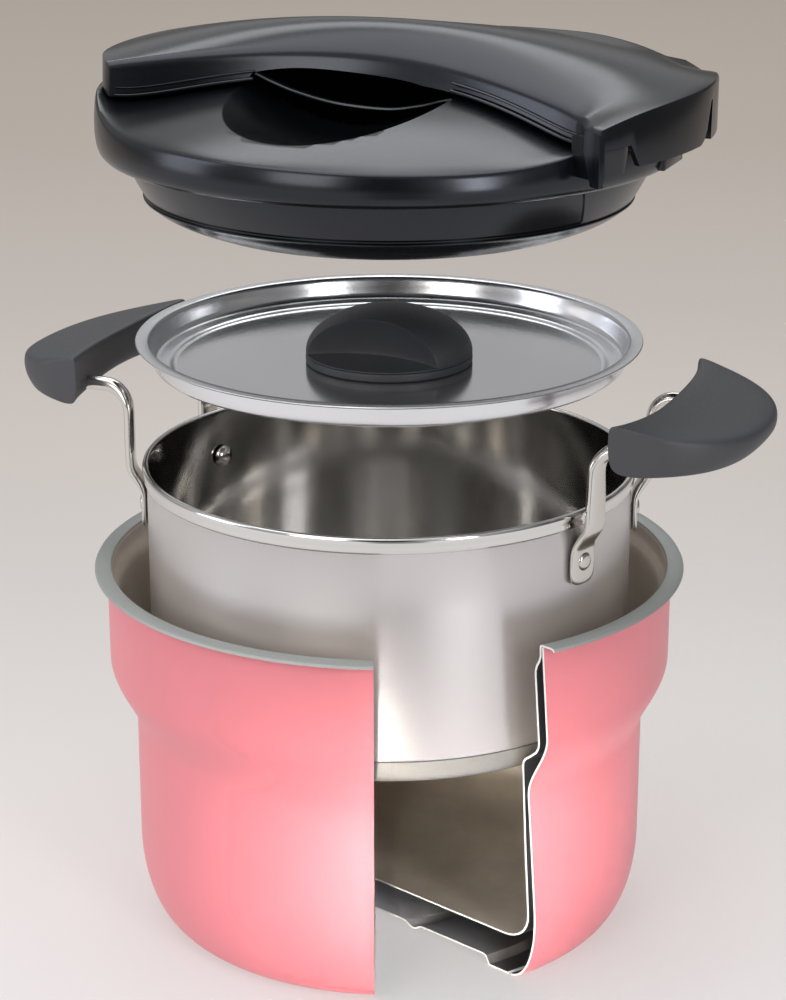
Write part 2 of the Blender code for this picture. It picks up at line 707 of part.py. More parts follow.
def dome_height(x, y):
    """Height of the outer lid's cover before its scoops: a low dome that rises to the ends."""
    share = min(math.hypot(x, y) / COVER_TOP_RADIUS, 1)
    return mix(COVER_CROWN_HEIGHT, COVER_TOP_HEIGHT + end_rise(x), share * share)


def cover_height(x, y):
    """Height of the cover with its finger scoops, front and rear."""
    height = dome_height(x, y)
    for side in (-1, 1):
        away = math.hypot(x / SCOOP_HALF_WIDTH, (y - side * SCOOP_OFFSET) / SCOOP_HALF_LENGTH)
        height -= SCOOP_DEPTH * max(1 - away * away, 0)
    return height


def make_cover(parts, cutters, finishes):
    """The outer lid's cover: a scooped dome that turns down into a bulging side."""
    shape = bmesh.new()
    rings = 9
    profile = [(COVER_TOP_RADIUS * index / rings, None, 1) for index in range(1, rings + 1)]
    profile += [
        (COVER_BULGE_RADIUS, COVER_BULGE_HEIGHT, COVER_BULGE_HEIGHT / COVER_TOP_HEIGHT),
        (COVER_FOLD_RADIUS, COVER_FOLD_HEIGHT, 0),
        (COVER_EDGE_RADIUS, 0, 0),
    ]
    middle = shape.verts.new((0, 0, cover_height(0, 0)))
    last = None
    for radius, level, rise in profile:
        ring = []
        for index in range(TURN_STEPS):
            spot = direction(360 * index / TURN_STEPS) * radius
            height = cover_height(spot.x, spot.y) if level is None else level + rise * end_rise(spot.x)
            ring.append(shape.verts.new((spot.x, spot.y, height)))
        for index in range(TURN_STEPS):
            after = (index + 1) % TURN_STEPS
            if last:
                shape.faces.new((last[index], ring[index], ring[after], last[after]))
            else:
                shape.faces.new((middle, ring[index], ring[after]))
        last = ring
    cover = place("lid_cover", mesh_from("lid_cover", shape), finishes["plastic"], parts, LID_Z)
    thicken(cover, LID_WALL, -1)
    tab_size = (TAB_OUTER - TAB_INNER, 2 * TAB_HALF_WIDTH, TAB_TOP - TAB_BOTTOM)
    tab_centre = (mix(TAB_INNER, TAB_OUTER, 0.5), 0, LID_Z + mix(TAB_BOTTOM, TAB_TOP, 0.5))
    tab = box("stand_tab", tab_size, tab_centre, None, cutters)
    boolean(cover, tab, "UNION")
    return cover


def plug_profile():
    """The lower moulding of the outer lid, from its collar down to the middle recess."""
    collar = COVER_EDGE_RADIUS - LID_WALL - GAP
    step = PLUG_RADIUS - PLUG_STEP
    return [
        (collar, PLUG_COLLAR_HEIGHT),
        (collar, 0),
        (PLUG_TOP_RADIUS, 0),
        (PLUG_SIDE_RADIUS, -PLUG_SIDE_DEPTH),
        (PLUG_RADIUS, -PLUG_LINE),
        (step, -PLUG_LINE - PLUG_STEP / 2),
        (mix(step, PLUG_BOTTOM_RADIUS, 0.4), mix(-PLUG_LINE - PLUG_STEP, -PLUG_DEPTH, 0.6)),
        (PLUG_BOTTOM_RADIUS, -PLUG_DEPTH),
        (RECESS_RADIUS, -PLUG_DEPTH),
        (RECESS_RADIUS - RECESS_SLOPE, -PLUG_DEPTH + RECESS_DEPTH),
        (0, -PLUG_DEPTH + RECESS_DEPTH),
    ]


def foam_profile():
    """The insulation that fills the space between the plug and the cover."""
    outer = PLUG_RADIUS - LID_WALL - GAP
    bottom = -PLUG_DEPTH + LID_WALL + GAP
    recess_top = bottom + RECESS_DEPTH
    wall = LID_WALL + 2 * GAP
    return [
        (0, FOAM_TOP),
        (mix(0, outer, 0.6), FOAM_TOP),
        (outer, FOAM_SHOULDER),
        (outer, -PLUG_LINE + LID_WALL),
        (PLUG_BOTTOM_RADIUS - LID_WALL, bottom),
        (RECESS_RADIUS + wall, bottom),
        (RECESS_RADIUS - RECESS_SLOPE + wall, recess_top),
        (0, recess_top),
    ]


def band_half_width(x):
    return BAND_WAIST + x * x / (2 * BAND_FLARE_RADIUS)


def band_top(x, across):
    """Crown height at a distance along the band and a share of its half width."""
    along = x / BAND_RIGHT_REACH
    crown = BAND_CROWN - BAND_FALL_ALONG * along * along
    edge = BAND_EDGE - BAND_EDGE_LEAN * x - BAND_EDGE_FALL * along * along
    if across > 0:
        rear = BAND_EDGE + BAND_REAR_RISE - BAND_REAR_FALL * along ** 4
        edge = mix(edge, rear, smooth(0.4 + 2 * along))
    return mix(crown, max(edge, BAND_CORNER), across * across)


def band_end(side, reach, across):
    """Where the band ends at a share of its half width, on a round outline."""
    y = reach * math.sin(math.radians(WING_HALF_ANGLE)) * across
    return Vector((side * math.sqrt(reach * reach - y * y), y, 0))


def band_point(column, across):
    """Plan position on the band at a station and at a share from edge to edge."""
    left = band_end(-1, BAND_LEFT_REACH, across)
    right = band_end(1, COVER_BULGE_RADIUS + WING_CLEARANCE, across)
    if column == BAND_STATIONS:
        return band_end(1, BAND_RIGHT_REACH, across)
    along = column / (BAND_STATIONS - 1)
    x = mix(left.x, right.x, along)
    ends = mix(left.y, right.y, along)
    half = band_half_width(x)
    return Vector((x, across * min(half, abs(ends / across)) if across else 0, 0))


def band_foot(spot):
    """Height of the band's lower edge: on the cover, or the wing's skirt at its end."""
    if spot.length > mix(COVER_BULGE_RADIUS + WING_CLEARANCE, BAND_RIGHT_REACH, 0.5):
        return WING_SKIRT_HEIGHT
    inward = spot * (1 - 1.5 * BAND_WALL / spot.length)
    return dome_height(inward.x, inward.y) + GAP


def make_band(parts, cutters, finishes):
    """The crowned grip band across the lid, hollow below, with its wing past the right edge."""
    shape = bmesh.new()
    grid = []
    for row in range(BAND_STATIONS_ACROSS + 1):
        across = 2 * row / BAND_STATIONS_ACROSS - 1
        line = []
        for column in range(BAND_STATIONS + 1):
            spot = band_point(column, across)
            line.append(shape.verts.new((spot.x, spot.y, band_top(spot.x, across))))
        grid.append(line)
    for lower, upper in zip(grid, grid[1:]):
        for column in range(BAND_STATIONS):
            shape.faces.new((lower[column], lower[column + 1], upper[column + 1], upper[column]))
    loop = [(0, column) for column in range(BAND_STATIONS)]
    loop += [(row, BAND_STATIONS) for row in range(BAND_STATIONS_ACROSS)]
    loop += [(BAND_STATIONS_ACROSS, column) for column in range(BAND_STATIONS, 0, -1)]
    loop += [(row, 0) for row in range(BAND_STATIONS_ACROSS, 0, -1)]
    feet = []
    for row, column in loop:
        top = grid[row][column].co
        spot = Vector((top.x, top.y, 0))
        feet.append(shape.verts.new((top.x, top.y, band_foot(spot))))
    for index, (row, column) in enumerate(loop):
        after = (index + 1) % len(loop)
        next_row, next_column = loop[after]
        shape.faces.new((grid[next_row][next_column], grid[row][column], feet[index], feet[after]))
    band = place("grip_band", mesh_from("grip_band", shape), finishes["plastic"], parts, LID_Z)
    thicken(band, BAND_WALL, -1)
    radii = (EYE_HALF_LENGTH, 2 * BAND_WAIST, EYE_HALF_HEIGHT)
    boolean(band, ellipsoid("finger_eye", radii, (0, 0, LID_Z + EYE_HEIGHT), cutters), "DIFFERENCE")
    for side in (-1, 1):
        angle = side * NOTCH_ANGLE
        height = NOTCH_TOP
        notch = box("wing_notch", (4 * OVERRUN, NOTCH_WIDTH, height), (0, 0, height / 2), None, cutters)
        notch.location = direction(angle) * BAND_RIGHT_REACH
        notch.location.z = LID_Z
        notch.rotation_euler.z = math.radians(angle)
        boolean(band, notch, "DIFFERENCE")
    return band


def make_outer_lid(parts, cutters, finishes):
    make_cover(parts, cutters, finishes)
    turned("lid_plug", plug_profile(), finishes["plastic"], parts, LID_Z, wall=LID_WALL)
    turned("lid_insulation", foam_profile(), finishes["foam"], parts, LID_Z)
    make_band(parts, cutters, finishes)


def main():
    for piece in list(bpy.data.objects):
        bpy.data.objects.remove(piece)
    parts = bpy.data.collections.new("thermal_cooker")
    cutters = bpy.data.collections.new("cutters")
    for collection in (parts, cutters):
        bpy.context.scene.collection.children.link(collection)
    finishes = {
        "paint": material("satin_pink_paint", (0.88, 0.31, 0.36), 0.35, 0),
        "liner": material("brushed_liner_steel", (0.45, 0.42, 0.36), 0.35, 1),
        "steel": material("polished_pot_steel", (0.62, 0.62, 0.62), 0.25, 1),
        "satin": material("satin_base_steel", (0.42, 0.42, 0.43), 0.45, 1),
        "mirror": material("mirror_lid_steel", (0.7, 0.7, 0.71), 0.08, 1),
        "rod": material("handle_steel", (0.6, 0.59, 0.57), 0.2, 1),
        "aluminium": material("core_aluminium", (0.7, 0.7, 0.7), 0.4, 1),
        "bakelite": material("slate_bakelite", (0.045, 0.048, 0.055), 0.55, 0),
        "plastic": material("black_lid_plastic", (0.02, 0.021, 0.024), 0.35, 0),
        "foam": material("insulating_foam", (0.85, 0.83, 0.75), 0.9, 0),
    }
    make_container(parts, cutters, finishes)
    make_pot(parts, cutters, finishes)
    make_inner_lid(parts, cutters, finishes)
    make_outer_lid(parts, cutters, finishes)
    bpy.context.view_layer.update()


main()
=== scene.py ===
"""Thermal cooker, lifted apart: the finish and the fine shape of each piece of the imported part."""

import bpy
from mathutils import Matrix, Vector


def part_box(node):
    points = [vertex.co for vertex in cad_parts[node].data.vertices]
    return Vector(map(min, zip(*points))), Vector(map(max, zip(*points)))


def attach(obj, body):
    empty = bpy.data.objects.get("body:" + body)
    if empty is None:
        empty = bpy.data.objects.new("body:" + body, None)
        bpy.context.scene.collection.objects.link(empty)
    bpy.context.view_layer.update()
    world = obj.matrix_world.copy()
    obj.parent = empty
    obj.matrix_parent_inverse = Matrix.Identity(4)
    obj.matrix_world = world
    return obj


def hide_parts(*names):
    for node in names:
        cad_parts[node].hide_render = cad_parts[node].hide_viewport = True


bl_info = {
    "name": "Thermal Cooker",
    "version": (1, 0, 0),
    "blender": (4, 5, 0),
    "location": "3D View > Sidebar > Cooker",
    "description": "Builds a thermal cooker with its pot, its two lids and their finishes",
    "category": "Add Mesh",
}

import math

import bmesh
import bpy
from bpy.props import FloatProperty, FloatVectorProperty, IntProperty, PointerProperty
from mathutils import Matrix, Vector

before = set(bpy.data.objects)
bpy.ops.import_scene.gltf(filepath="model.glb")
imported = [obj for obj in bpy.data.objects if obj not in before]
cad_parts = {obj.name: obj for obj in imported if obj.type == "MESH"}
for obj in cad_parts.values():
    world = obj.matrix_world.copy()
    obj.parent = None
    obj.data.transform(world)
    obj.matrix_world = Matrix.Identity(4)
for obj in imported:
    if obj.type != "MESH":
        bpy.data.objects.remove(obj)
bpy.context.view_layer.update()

MM = 0.001
MERGE = 0.005 * MM
METAL = 0.8 * MM
SHARP_ANGLE = 38

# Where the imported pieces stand
RIM_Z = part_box("liner")[1].z
POT_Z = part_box("pot_base_cap")[0].z
POT_RIM_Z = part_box("pot_shell")[1].z
PAN_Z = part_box("inner_lid_pan")[1].z
KNOB_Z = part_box("lid_knob")[0].z
PLUG_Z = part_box("lid_plug")[0].z
LID_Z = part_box("lid_cover")[0].z
HANDLES = {"right": 0, "left": 180}

# The handles: a grip's half length, the distance in millimetres to which its inner side runs in at its two
# tips before it is turned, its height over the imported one, and the radius at which it clears the rim below
GRIP_HALF = 52 * MM
GRIP_TIPS = {"right": (107.5, 113), "left": (115.5, 114)}
GRIP_LIFT = {"right": 0, "left": 2 * MM}
RIM_CLEAR = 123 * MM
ROD_ANGLE = 20
ROD_IN_GRIP, SCREW_IN_GRIP, SCREW_RISE = 11 * MM, 4 * MM, 1.6 * MM

# The outer lid: where the cover turns down, and the grip band's ends and its wing
TURN_RADIUS = 112 * MM
BAND_LEFT, BAND_RIGHT, WING_REACH = 111.4 * MM, 116.3 * MM, 126.6 * MM
WING_ANGLE = 32.5
WING_START = 119 * MM


# ---------------------------------------------------------------- colour and nodes
def linear(value):
    """An sRGB hex colour as linear red, green, blue and alpha."""
    shares = [int(value[place:place + 2], 16) / 255 for place in (1, 3, 5)]
    return tuple(share / 12.92 if share <= 0.04045 else ((share + 0.055) / 1.055) ** 2.4 for share in shares) + (1,)


def per(millimetres):
    """Texture scale for a pattern that repeats in this many millimetres."""
    return 1 / (millimetres * MM)


def add_node(tree, kind, settings=None, links=None):
    """Add one node with its settings and links. A key is an input's name or number, or a property."""
    node = tree.nodes.new(kind)
    for key, value in (settings or {}).items():
        if isinstance(key, int) or key in node.inputs:
            node.inputs[key].default_value = value
        else:
            setattr(node, key, value)
    for key, source in (links or {}).items():
        tree.links.new(source, node.inputs[key])
    return node


def finish(name, colour, metallic, roughness, settings=None):
    """A material with its even values on the shader itself. Returns it with its tree and shader."""
    made = bpy.data.materials.new(name)
    made.use_nodes = True
    tree = made.node_tree
    shader = tree.nodes["Principled BSDF"]
    shader.inputs["Base Color"].default_value = colour
    shader.inputs["Metallic"].default_value = metallic
    shader.inputs["Roughness"].default_value = roughness
    for key, value in (settings or {}).items():
        shader.inputs[key].default_value = value
    made.diffuse_color = colour
    return made, tree, shader


def pattern(tree, stretch, size, detail=3.0, rough=0.6):
    """A noise on object coordinates, stretched along an axis, with a grain of so many millimetres."""
    where = add_node(tree, "ShaderNodeTexCoord")
    lay = add_node(tree, "ShaderNodeMapping", {"Scale": stretch}, {"Vector": where.outputs["Object"]})
    return add_node(
        tree, "ShaderNodeTexNoise",
        {"Scale": per(size), "Detail": detail, "Roughness": rough},
        {"Vector": lay.outputs["Vector"]},
    )


# ---------------------------------------------------------------- finishes
EVEN = (1, 1, 1)
MIDDLE = {"From Min": 0.3, "From Max": 0.7}  # where most of a noise's values lie


def shaded(colour, share):
    """A colour made darker or lighter by a share."""
    return tuple(part * share for part in colour[:3]) + (1,)


def grained(name, colour, metallic, roughness, grain, settings=None, span=None, relief=None, shades=None,
            brushed=False):
    """A finish that follows one grain, given as its stretch, size, detail and roughness.

    The grain drives a span of roughness, a relief as depth and strength, and a mix of two shades.
    A brushed finish lays its highlight round the upright axis.
    """
    made, tree, shader = finish(name, colour, metallic, roughness, settings)
    source = pattern(tree, *grain).outputs[0]
    if shades:
        share = add_node(tree, "ShaderNodeMapRange", MIDDLE, {"Value": source})
        mixed = add_node(
            tree, "ShaderNodeMix", {"data_type": "RGBA", 6: shades[0], 7: shades[1]}, {0: share.outputs[0]},
        )
        tree.links.new(mixed.outputs[2], shader.inputs["Base Color"])
    if span:
        value = add_node(
            tree, "ShaderNodeMapRange", {**MIDDLE, "To Min": span[0], "To Max": span[1]}, {"Value": source},
        )
        tree.links.new(value.outputs[0], shader.inputs["Roughness"])
    if relief:
        bump = add_node(
            tree, "ShaderNodeBump", {"Distance": relief[0] * MM, "Strength": relief[1]}, {"Height": source},
        )
        tree.links.new(bump.outputs["Normal"], shader.inputs["Normal"])
    if brushed:
        around = add_node(tree, "ShaderNodeTangent", {"direction_type": "RADIAL", "axis": "Z"})
        tree.links.new(around.outputs["Tangent"], shader.inputs["Tangent"])
    return made


def clouded(made, size, detail, stretch, colour, share):
    """Give a finish soft clouds of a second shade."""
    tree = made.node_tree
    cloud = pattern(tree, stretch, size, detail)
    place = add_node(tree, "ShaderNodeMapRange", MIDDLE, {"Value": cloud.outputs[0]})
    mixed = add_node(
        tree, "ShaderNodeMix", {"data_type": "RGBA", 6: colour, 7: shaded(colour, share)}, {0: place.outputs[0]},
    )
    tree.links.new(mixed.outputs[2], tree.nodes["Principled BSDF"].inputs["Base Color"])
    return made


def mirror_steel(name, colour, low, high, size):
    """Buffed stainless steel: a mirror with faint buffing haze and slight waves in the sheet."""
    made = grained(name, colour, 1, low, (EVEN, size, 4), None, (low, high))
    tree = made.node_tree
    wave = pattern(tree, EVEN, 40, 1)
    bump = add_node(tree, "ShaderNodeBump", {"Distance": 0.05 * MM, "Strength": 0.4}, {"Height": wave.outputs[0]})
    tree.links.new(bump.outputs["Normal"], tree.nodes["Principled BSDF"].inputs["Normal"])
    return made


def floor_cavity_painted_light_and_shade():
    """Inner face of the floor space, dull rolled sheet, with painted light and shade: pale on the left, darker to the
    right.
    """
    made = grained(
        "floor_sheet_painted_light_and_shade", linear("#8C8D8F"), 0.1, 0.5, ((0.05, 1, 1), 1.2, 4), None, (0.42, 0.58), (0.02, 0.4),
    )
    tree = made.node_tree
    where = add_node(tree, "ShaderNodeTexCoord")
    along = add_node(
        tree, "ShaderNodeVectorMath", {"operation": "DOT_PRODUCT", 1: (0.927, 0.375, 0)},
        {0: where.outputs["Object"]},
    )
    share = add_node(
        tree, "ShaderNodeMapRange", {"From Min": -5 * MM, "From Max": 48 * MM}, {"Value": along.outputs["Value"]},
    )
    # Painted light and shade: the sheet runs from pale on the left to dark on the right.
    mixed = add_node(
        tree, "ShaderNodeMix", {"data_type": "RGBA", 6: linear("#E2E3E5"), 7: linear("#4B4748")},
        {0: share.outputs[0]},
    )
    tree.links.new(mixed.outputs[2], tree.nodes["Principled BSDF"].inputs["Base Color"])
    return made


def foam_finish():
    """Rigid polyurethane foam: cream, matt, with closed cells a millimetre across."""
    made, tree, shader = finish("rigid_foam", linear("#E9E2CC"), 0, 0.9)
    where = add_node(tree, "ShaderNodeTexCoord")
    cells = add_node(tree, "ShaderNodeTexVoronoi", {"Scale": per(1.2)}, {"Vector": where.outputs["Object"]})
    bump = add_node(
        tree, "ShaderNodeBump", {"Distance": 0.3 * MM, "Strength": 0.7}, {"Height": cells.outputs["Distance"]},
    )
    tree.links.new(bump.outputs["Normal"], shader.inputs["Normal"])
    return made


def build_finishes(colours):
    """Every finish of the cooker by the name that the pieces use."""
    paint, rim, liner, steel, pan_floor, slate, plastic = (tuple(colour) + (1,) for colour in (
        colours.paint, colours.rim, colours.liner, colours.steel, colours.pan_floor, colours.slate,
        colours.plastic))
    return {
        # Baked enamel on sheet steel, sprayed: an even satin colour with a faint orange-peel skin.
        "paint": clouded(grained(
            "sprayed_pink_enamel", paint, 0, 0.42, (EVEN, 1.1, 2),
            {"Coat Weight": 0.12, "Coat Roughness": 0.35, "IOR": 1.5}, relief=(0.02, 0.6),
        ), 60, 3, EVEN, paint, 0.955),
        # Blasted and lacquered steel flange: matt grey-green, with a fine grit.
        "rim": grained(
            "blasted_rim_steel", rim, 0.35, 0.55, (EVEN, 0.7, 4), relief=(0.03, 0.5), shades=(rim, shaded(rim, 0.86)),
        ),
        # Drawn stainless steel, warm from its heat treatment and brushed round: fine level lines.
        "liner": clouded(grained(
            "brushed_warm_steel", liner, 0.3, 0.42, ((0.02, 0.02, 1), 0.9, 4), {"Anisotropic": 0.4},
            (0.28, 0.46), (0.03, 0.5), brushed=True,
        ), 34, 3, (1, 1, 1.6), liner, 0.8),
        # The sides that face the vacuum: painted shade, a nearly black sheet that stands for the unlit gap.
        "cavity": grained(
            "painted_shade_vacuum_wall", linear("#2B2B2D"), 0.25, 0.6, ((1, 1, 0.3), 14, 4),
            shades=(linear("#242426"), linear("#38383B")),
        ),
        # Painted light and shade on the inner faces of the floor space.
        "floor_cavity": floor_cavity_painted_light_and_shade(),
        # A sawn and polished sheet edge: almost white, with fine cross scratches.
        "cut": grained(
            "bright_cut_edge", linear("#F4F3F1"), 0.3, 0.35, ((1, 1, 0.2), 0.6, 3), None, (0.28, 0.42), (0.01, 0.3),
        ),
        # Pressed stainless base, satin ground: soft grey with circular grinding lines.
        "base": grained(
            "satin_base_steel", linear("#B4B3B1"), 1, 0.42, (EVEN, 1.5, 4), {"Anisotropic": 0.4},
            (0.36, 0.5), (0.015, 0.4), brushed=True,
        ),
        # Stainless steel brushed round the pot: soft upright highlights, faintly broken by level hairlines.
        "pot_wall": grained(
            "brushed_pot_steel", steel, 0.8, 0.3, ((0.03, 0.03, 1), 0.5, 4),
            {"Anisotropic": 0.6, "Anisotropic Rotation": 0.25}, (0.28, 0.33), brushed=True,
        ),
        # Buffed steel with less polish from the bead to the lid: the pot's inside, its rim, the lid, the rods.
        "pot_inside": mirror_steel("buffed_pot_inside", linear("#D6D4D1"), 0.09, 0.14, 18),
        "bead": mirror_steel("polished_rim_bead", linear("#DCDBD9"), 0.07, 0.14, 12),
        "mirror": mirror_steel("polished_lid_steel", linear("#E4E5E8"), 0.2, 0.27, 14),
        "rod": mirror_steel("polished_handle_steel", linear("#D2CFCA"), 0.14, 0.24, 5),
        # The lid's flat middle, fine ground before polishing: satin grey, nearly without reflections.
        "pan_floor": grained("satin_lid_floor", pan_floor, 0.92, 0.16, (EVEN, 1.0, 5, 0.7), None, (0.14, 0.18)),
        # The capped base, bead blasted: flat mid grey without highlights.
        "cap": grained(
            "blasted_base_cap", linear("#949290"), 0.6, 0.55, (EVEN, 0.8, 4), None, (0.48, 0.62), (0.02, 0.5),
        ),
        # Rolled aluminium disc: pale and dull, with straight rolling lines.
        "core": grained(
            "rolled_aluminium", linear("#D0D1D3"), 1, 0.45, ((0.05, 1, 1), 1.0, 3), None, (0.38, 0.52), (0.02, 0.4),
        ),
        # Sintered titanium-alloy pellet: dark, dull and grainy.
        "getter": grained("sintered_getter", linear("#5A5A5C"), 0.8, 0.7, (EVEN, 0.5, 3), relief=(0.05, 0.7)),
        # Phenolic moulding, slate grey: matt, with the even sparkle of an etched mould.
        "slate": grained(
            "moulded_slate_bakelite", slate, 0, 0.5, (EVEN, 0.9, 4, 0.7), {"IOR": 1.55},
            (0.44, 0.6), (0.04, 0.5), (slate, shaded(slate, 1.22)),
        ),
        # Injection-moulded polypropylene, spark-eroded mould: satin black with a blue-grey sheen and fine grain.
        "plastic": grained(
            "moulded_black_polypropylene", plastic, 0, 0.36, (EVEN, 0.8, 4, 0.7),
            {"IOR": 1.5, "Specular Tint": linear("#E9F0FF")}, (0.19, 0.26), (0.012, 0.5),
        ),
        # Inside of the band and the cover below it: painted shade, dead black and matt without sheen, so that
        # they swallow what light gets in.
        "hollow": grained(
            "painted_shade_black_inside", linear("#030303"), 0, 0.8, (EVEN, 1.4, 3),
            {"Specular IOR Level": 0.0}, (0.72, 0.88), (0.05, 0.5),
        ),
        "foam": foam_finish(),
    }


def finishes():
    """The finishes, made once for all pieces."""
    if not FINISHES:
        FINISHES.update(build_finishes(bpy.context.scene.cooker_colours))
    return FINISHES


FINISHES = {}


# ---------------------------------------------------------------- shape helpers
def mix(start, end, share):
    return start + (end - start) * share


def smooth(share):
    """Ease in and out between nought and one."""
    share = min(max(share, 0), 1)
    return share * share * (3 - 2 * share)


def direction(angle):
    """A level unit vector at an angle in degrees from +X."""
    return Vector((math.cos(math.radians(angle)), math.sin(math.radians(angle)), 0))


def arc(radius, height, width, rise, start, end, count):
    """Points of an ellipse's arc about (radius, height), as radius and height pairs."""
    angles = [math.radians(mix(start, end, index / count)) for index in range(count + 1)]
    return [(radius + width * math.cos(angle), height + rise * math.sin(angle)) for angle in angles]


def curve_through(points, count):
    """A smooth line through a few points, with so many steps between each two."""
    points = [Vector(point) for point in points]
    padded = [2 * points[0] - points[1]] + points + [2 * points[-1] - points[-2]]
    line = []
    for before, start, end, after in zip(padded, padded[1:], padded[2:], padded[3:]):
        for index in range(count):
            t = index / count
            line.append(0.5 * (
                2 * start + (end - before) * t + (2 * before - 5 * start + 4 * end - after) * t * t
                + (3 * start - before - 3 * end + after) * t ** 3
            ))
    return line + [points[-1]]


def stand(name, shape, slots, body, nodes=()):
    """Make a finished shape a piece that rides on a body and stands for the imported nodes."""
    mesh = bpy.data.meshes.new(name)
    shape.to_mesh(mesh)
    shape.free()
    for made in slots:
        mesh.materials.append(finishes()[made])
    mesh.shade_smooth()
    mesh.set_sharp_from_angle(angle=math.radians(SHARP_ANGLE))
    piece = bpy.data.objects.new(name, mesh)
    bpy.context.scene.collection.objects.link(piece)
    if body:
        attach(piece, body)
    if nodes:
        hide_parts(*nodes)
    return piece


def bake(piece):
    """Put the result of a piece's modifiers in its mesh."""
    graph = bpy.context.evaluated_depsgraph_get()
    old = piece.data
    mesh = bpy.data.meshes.new_from_object(piece.evaluated_get(graph), preserve_all_data_layers=True, depsgraph=graph)
    piece.modifiers.clear()
    piece.data = mesh
    mesh.name = piece.name
    bpy.data.meshes.remove(old)
    mesh.shade_smooth()
    mesh.set_sharp_from_angle(angle=math.radians(SHARP_ANGLE))
    return piece


def spun(profile, steps, height=0, shown_left=False):
    """Spin a profile about Z. One that is open gets the face on the left of its course as its shown side."""
    shape = bmesh.new()
    points = [shape.verts.new((radius, 0, level + height)) for radius, level in profile]
    edges = [shape.edges.new(pair) for pair in zip(points, points[1:])]
    bmesh.ops.spin(
        shape, geom=points + edges, cent=(0, 0, 0), axis=(0, 0, 1), angle=2 * math.pi,
        steps=steps, use_merge=True,
    )
    bmesh.ops.remove_doubles(shape, verts=shape.verts, dist=MERGE)
    shape.normal_update()
    if shown_left:
        (r0, z0), (r1, z1) = profile[len(profile) // 2 - 1:len(profile) // 2 + 1]
        wanted = Vector((-(z1 - z0), r1 - r0)).normalized()
        middle = Vector(((r0 + r1) / 2, (z0 + z1) / 2 + height))
        near = min(shape.faces, key=lambda face: (
            Vector((face.calc_center_median().xy.length, face.calc_center_median().z)) - middle).length)
        outwards = near.calc_center_median().xy.normalized()
        level = Vector((near.normal.xy.dot(outwards), near.normal.z))
        if level.dot(wanted) < 0:
            bmesh.ops.reverse_faces(shape, faces=shape.faces)
    else:
        bmesh.ops.recalc_face_normals(shape, faces=shape.faces)
    return shape


def colour_faces(piece, rule):
    """Give each face the slot that a rule names from its radius, height and upward lean."""
    for face in piece.data.polygons:
        centre = face.center
        slot = rule(math.hypot(centre.x, centre.y), centre.z, face.normal.z)
        if slot is not None:
            face.material_index = slot
    return piece


def walled(piece, wall):
    """Give a sheet its wall on the hidden side, with the hidden side in the next slot."""
    solid = piece.modifiers.new("Wall", "SOLIDIFY")
    solid.thickness = wall
    solid.offset = -1
    solid.use_even_offset = True
    solid.material_offset = 1
    solid.material_offset_rim = 2
    return bake(piece)


def cut_by(piece, cutter, operation="DIFFERENCE"):
    """Cut a piece by a shape that is then gone."""
    cut = piece.modifiers.new("Cut", "BOOLEAN")
    cut.operation = operation
    cut.solver = "EXACT"
    cut.object = cutter
    bake(piece)
    bpy.data.meshes.remove(cutter.data)
    return piece


def cutter_from(name, shape, slots, index):
    """A cutting shape whose faces leave the slot that is numbered."""
    cutter = stand(name, shape, slots, None)
    for face in cutter.data.polygons:
        face.material_index = index
    return cutter


def rounded(piece, width, segments=3, angle=35):
    """Round the edges of a piece that are sharper than an angle."""
    bevel = piece.modifiers.new("Edges", "BEVEL")
    bevel.width = width
    bevel.segments = segments
    bevel.limit_method = "ANGLE"
    bevel.angle_limit = math.radians(angle)
    bevel.use_clamp_overlap = True
    return bake(piece)


def smoothed(piece, levels):
    """Refine a coarse cage to a smooth moulding."""
    refine = piece.modifiers.new("Refine", "SUBSURF")
    refine.levels = levels
    refine.render_levels = levels
    return bake(piece)


def skin(shape, rings, closed_ends=True):
    """Bridge rings of points, all of one count, into a solid."""
    loops = []
    for ring in rings:
        made = bmesh.ops.create_circle(shape, segments=len(ring), radius=MM)["verts"]
        for vert, point in zip(made, ring):
            vert.co = point
        edges = list({edge for vert in made for edge in vert.link_edges})
        loops.append(edges)
    for first, second in zip(loops, loops[1:]):
        bmesh.ops.bridge_loops(shape, edges=first + second)
    if closed_ends:
        for edges in (loops[0], loops[-1]):
            bmesh.ops.edgeloop_fill(shape, edges=edges)
    bmesh.ops.recalc_face_normals(shape, faces=shape.faces)


def bar_ring(centre, along, across, width, thickness, square, count=20):
    """A section at right angles to a bar: round where square is 2, flatter as it grows."""
    outwards = across.cross(along).normalized()
    points = []
    for index in range(count):
        angle = 2 * math.pi * index / count
        c, s = math.cos(angle), math.sin(angle)
        sideways = math.copysign(abs(c) ** (2 / square), c) * width / 2
        through = math.copysign(abs(s) ** (2 / square), s) * thickness / 2
        points.append(centre + across * sideways + outwards * through)
    return points


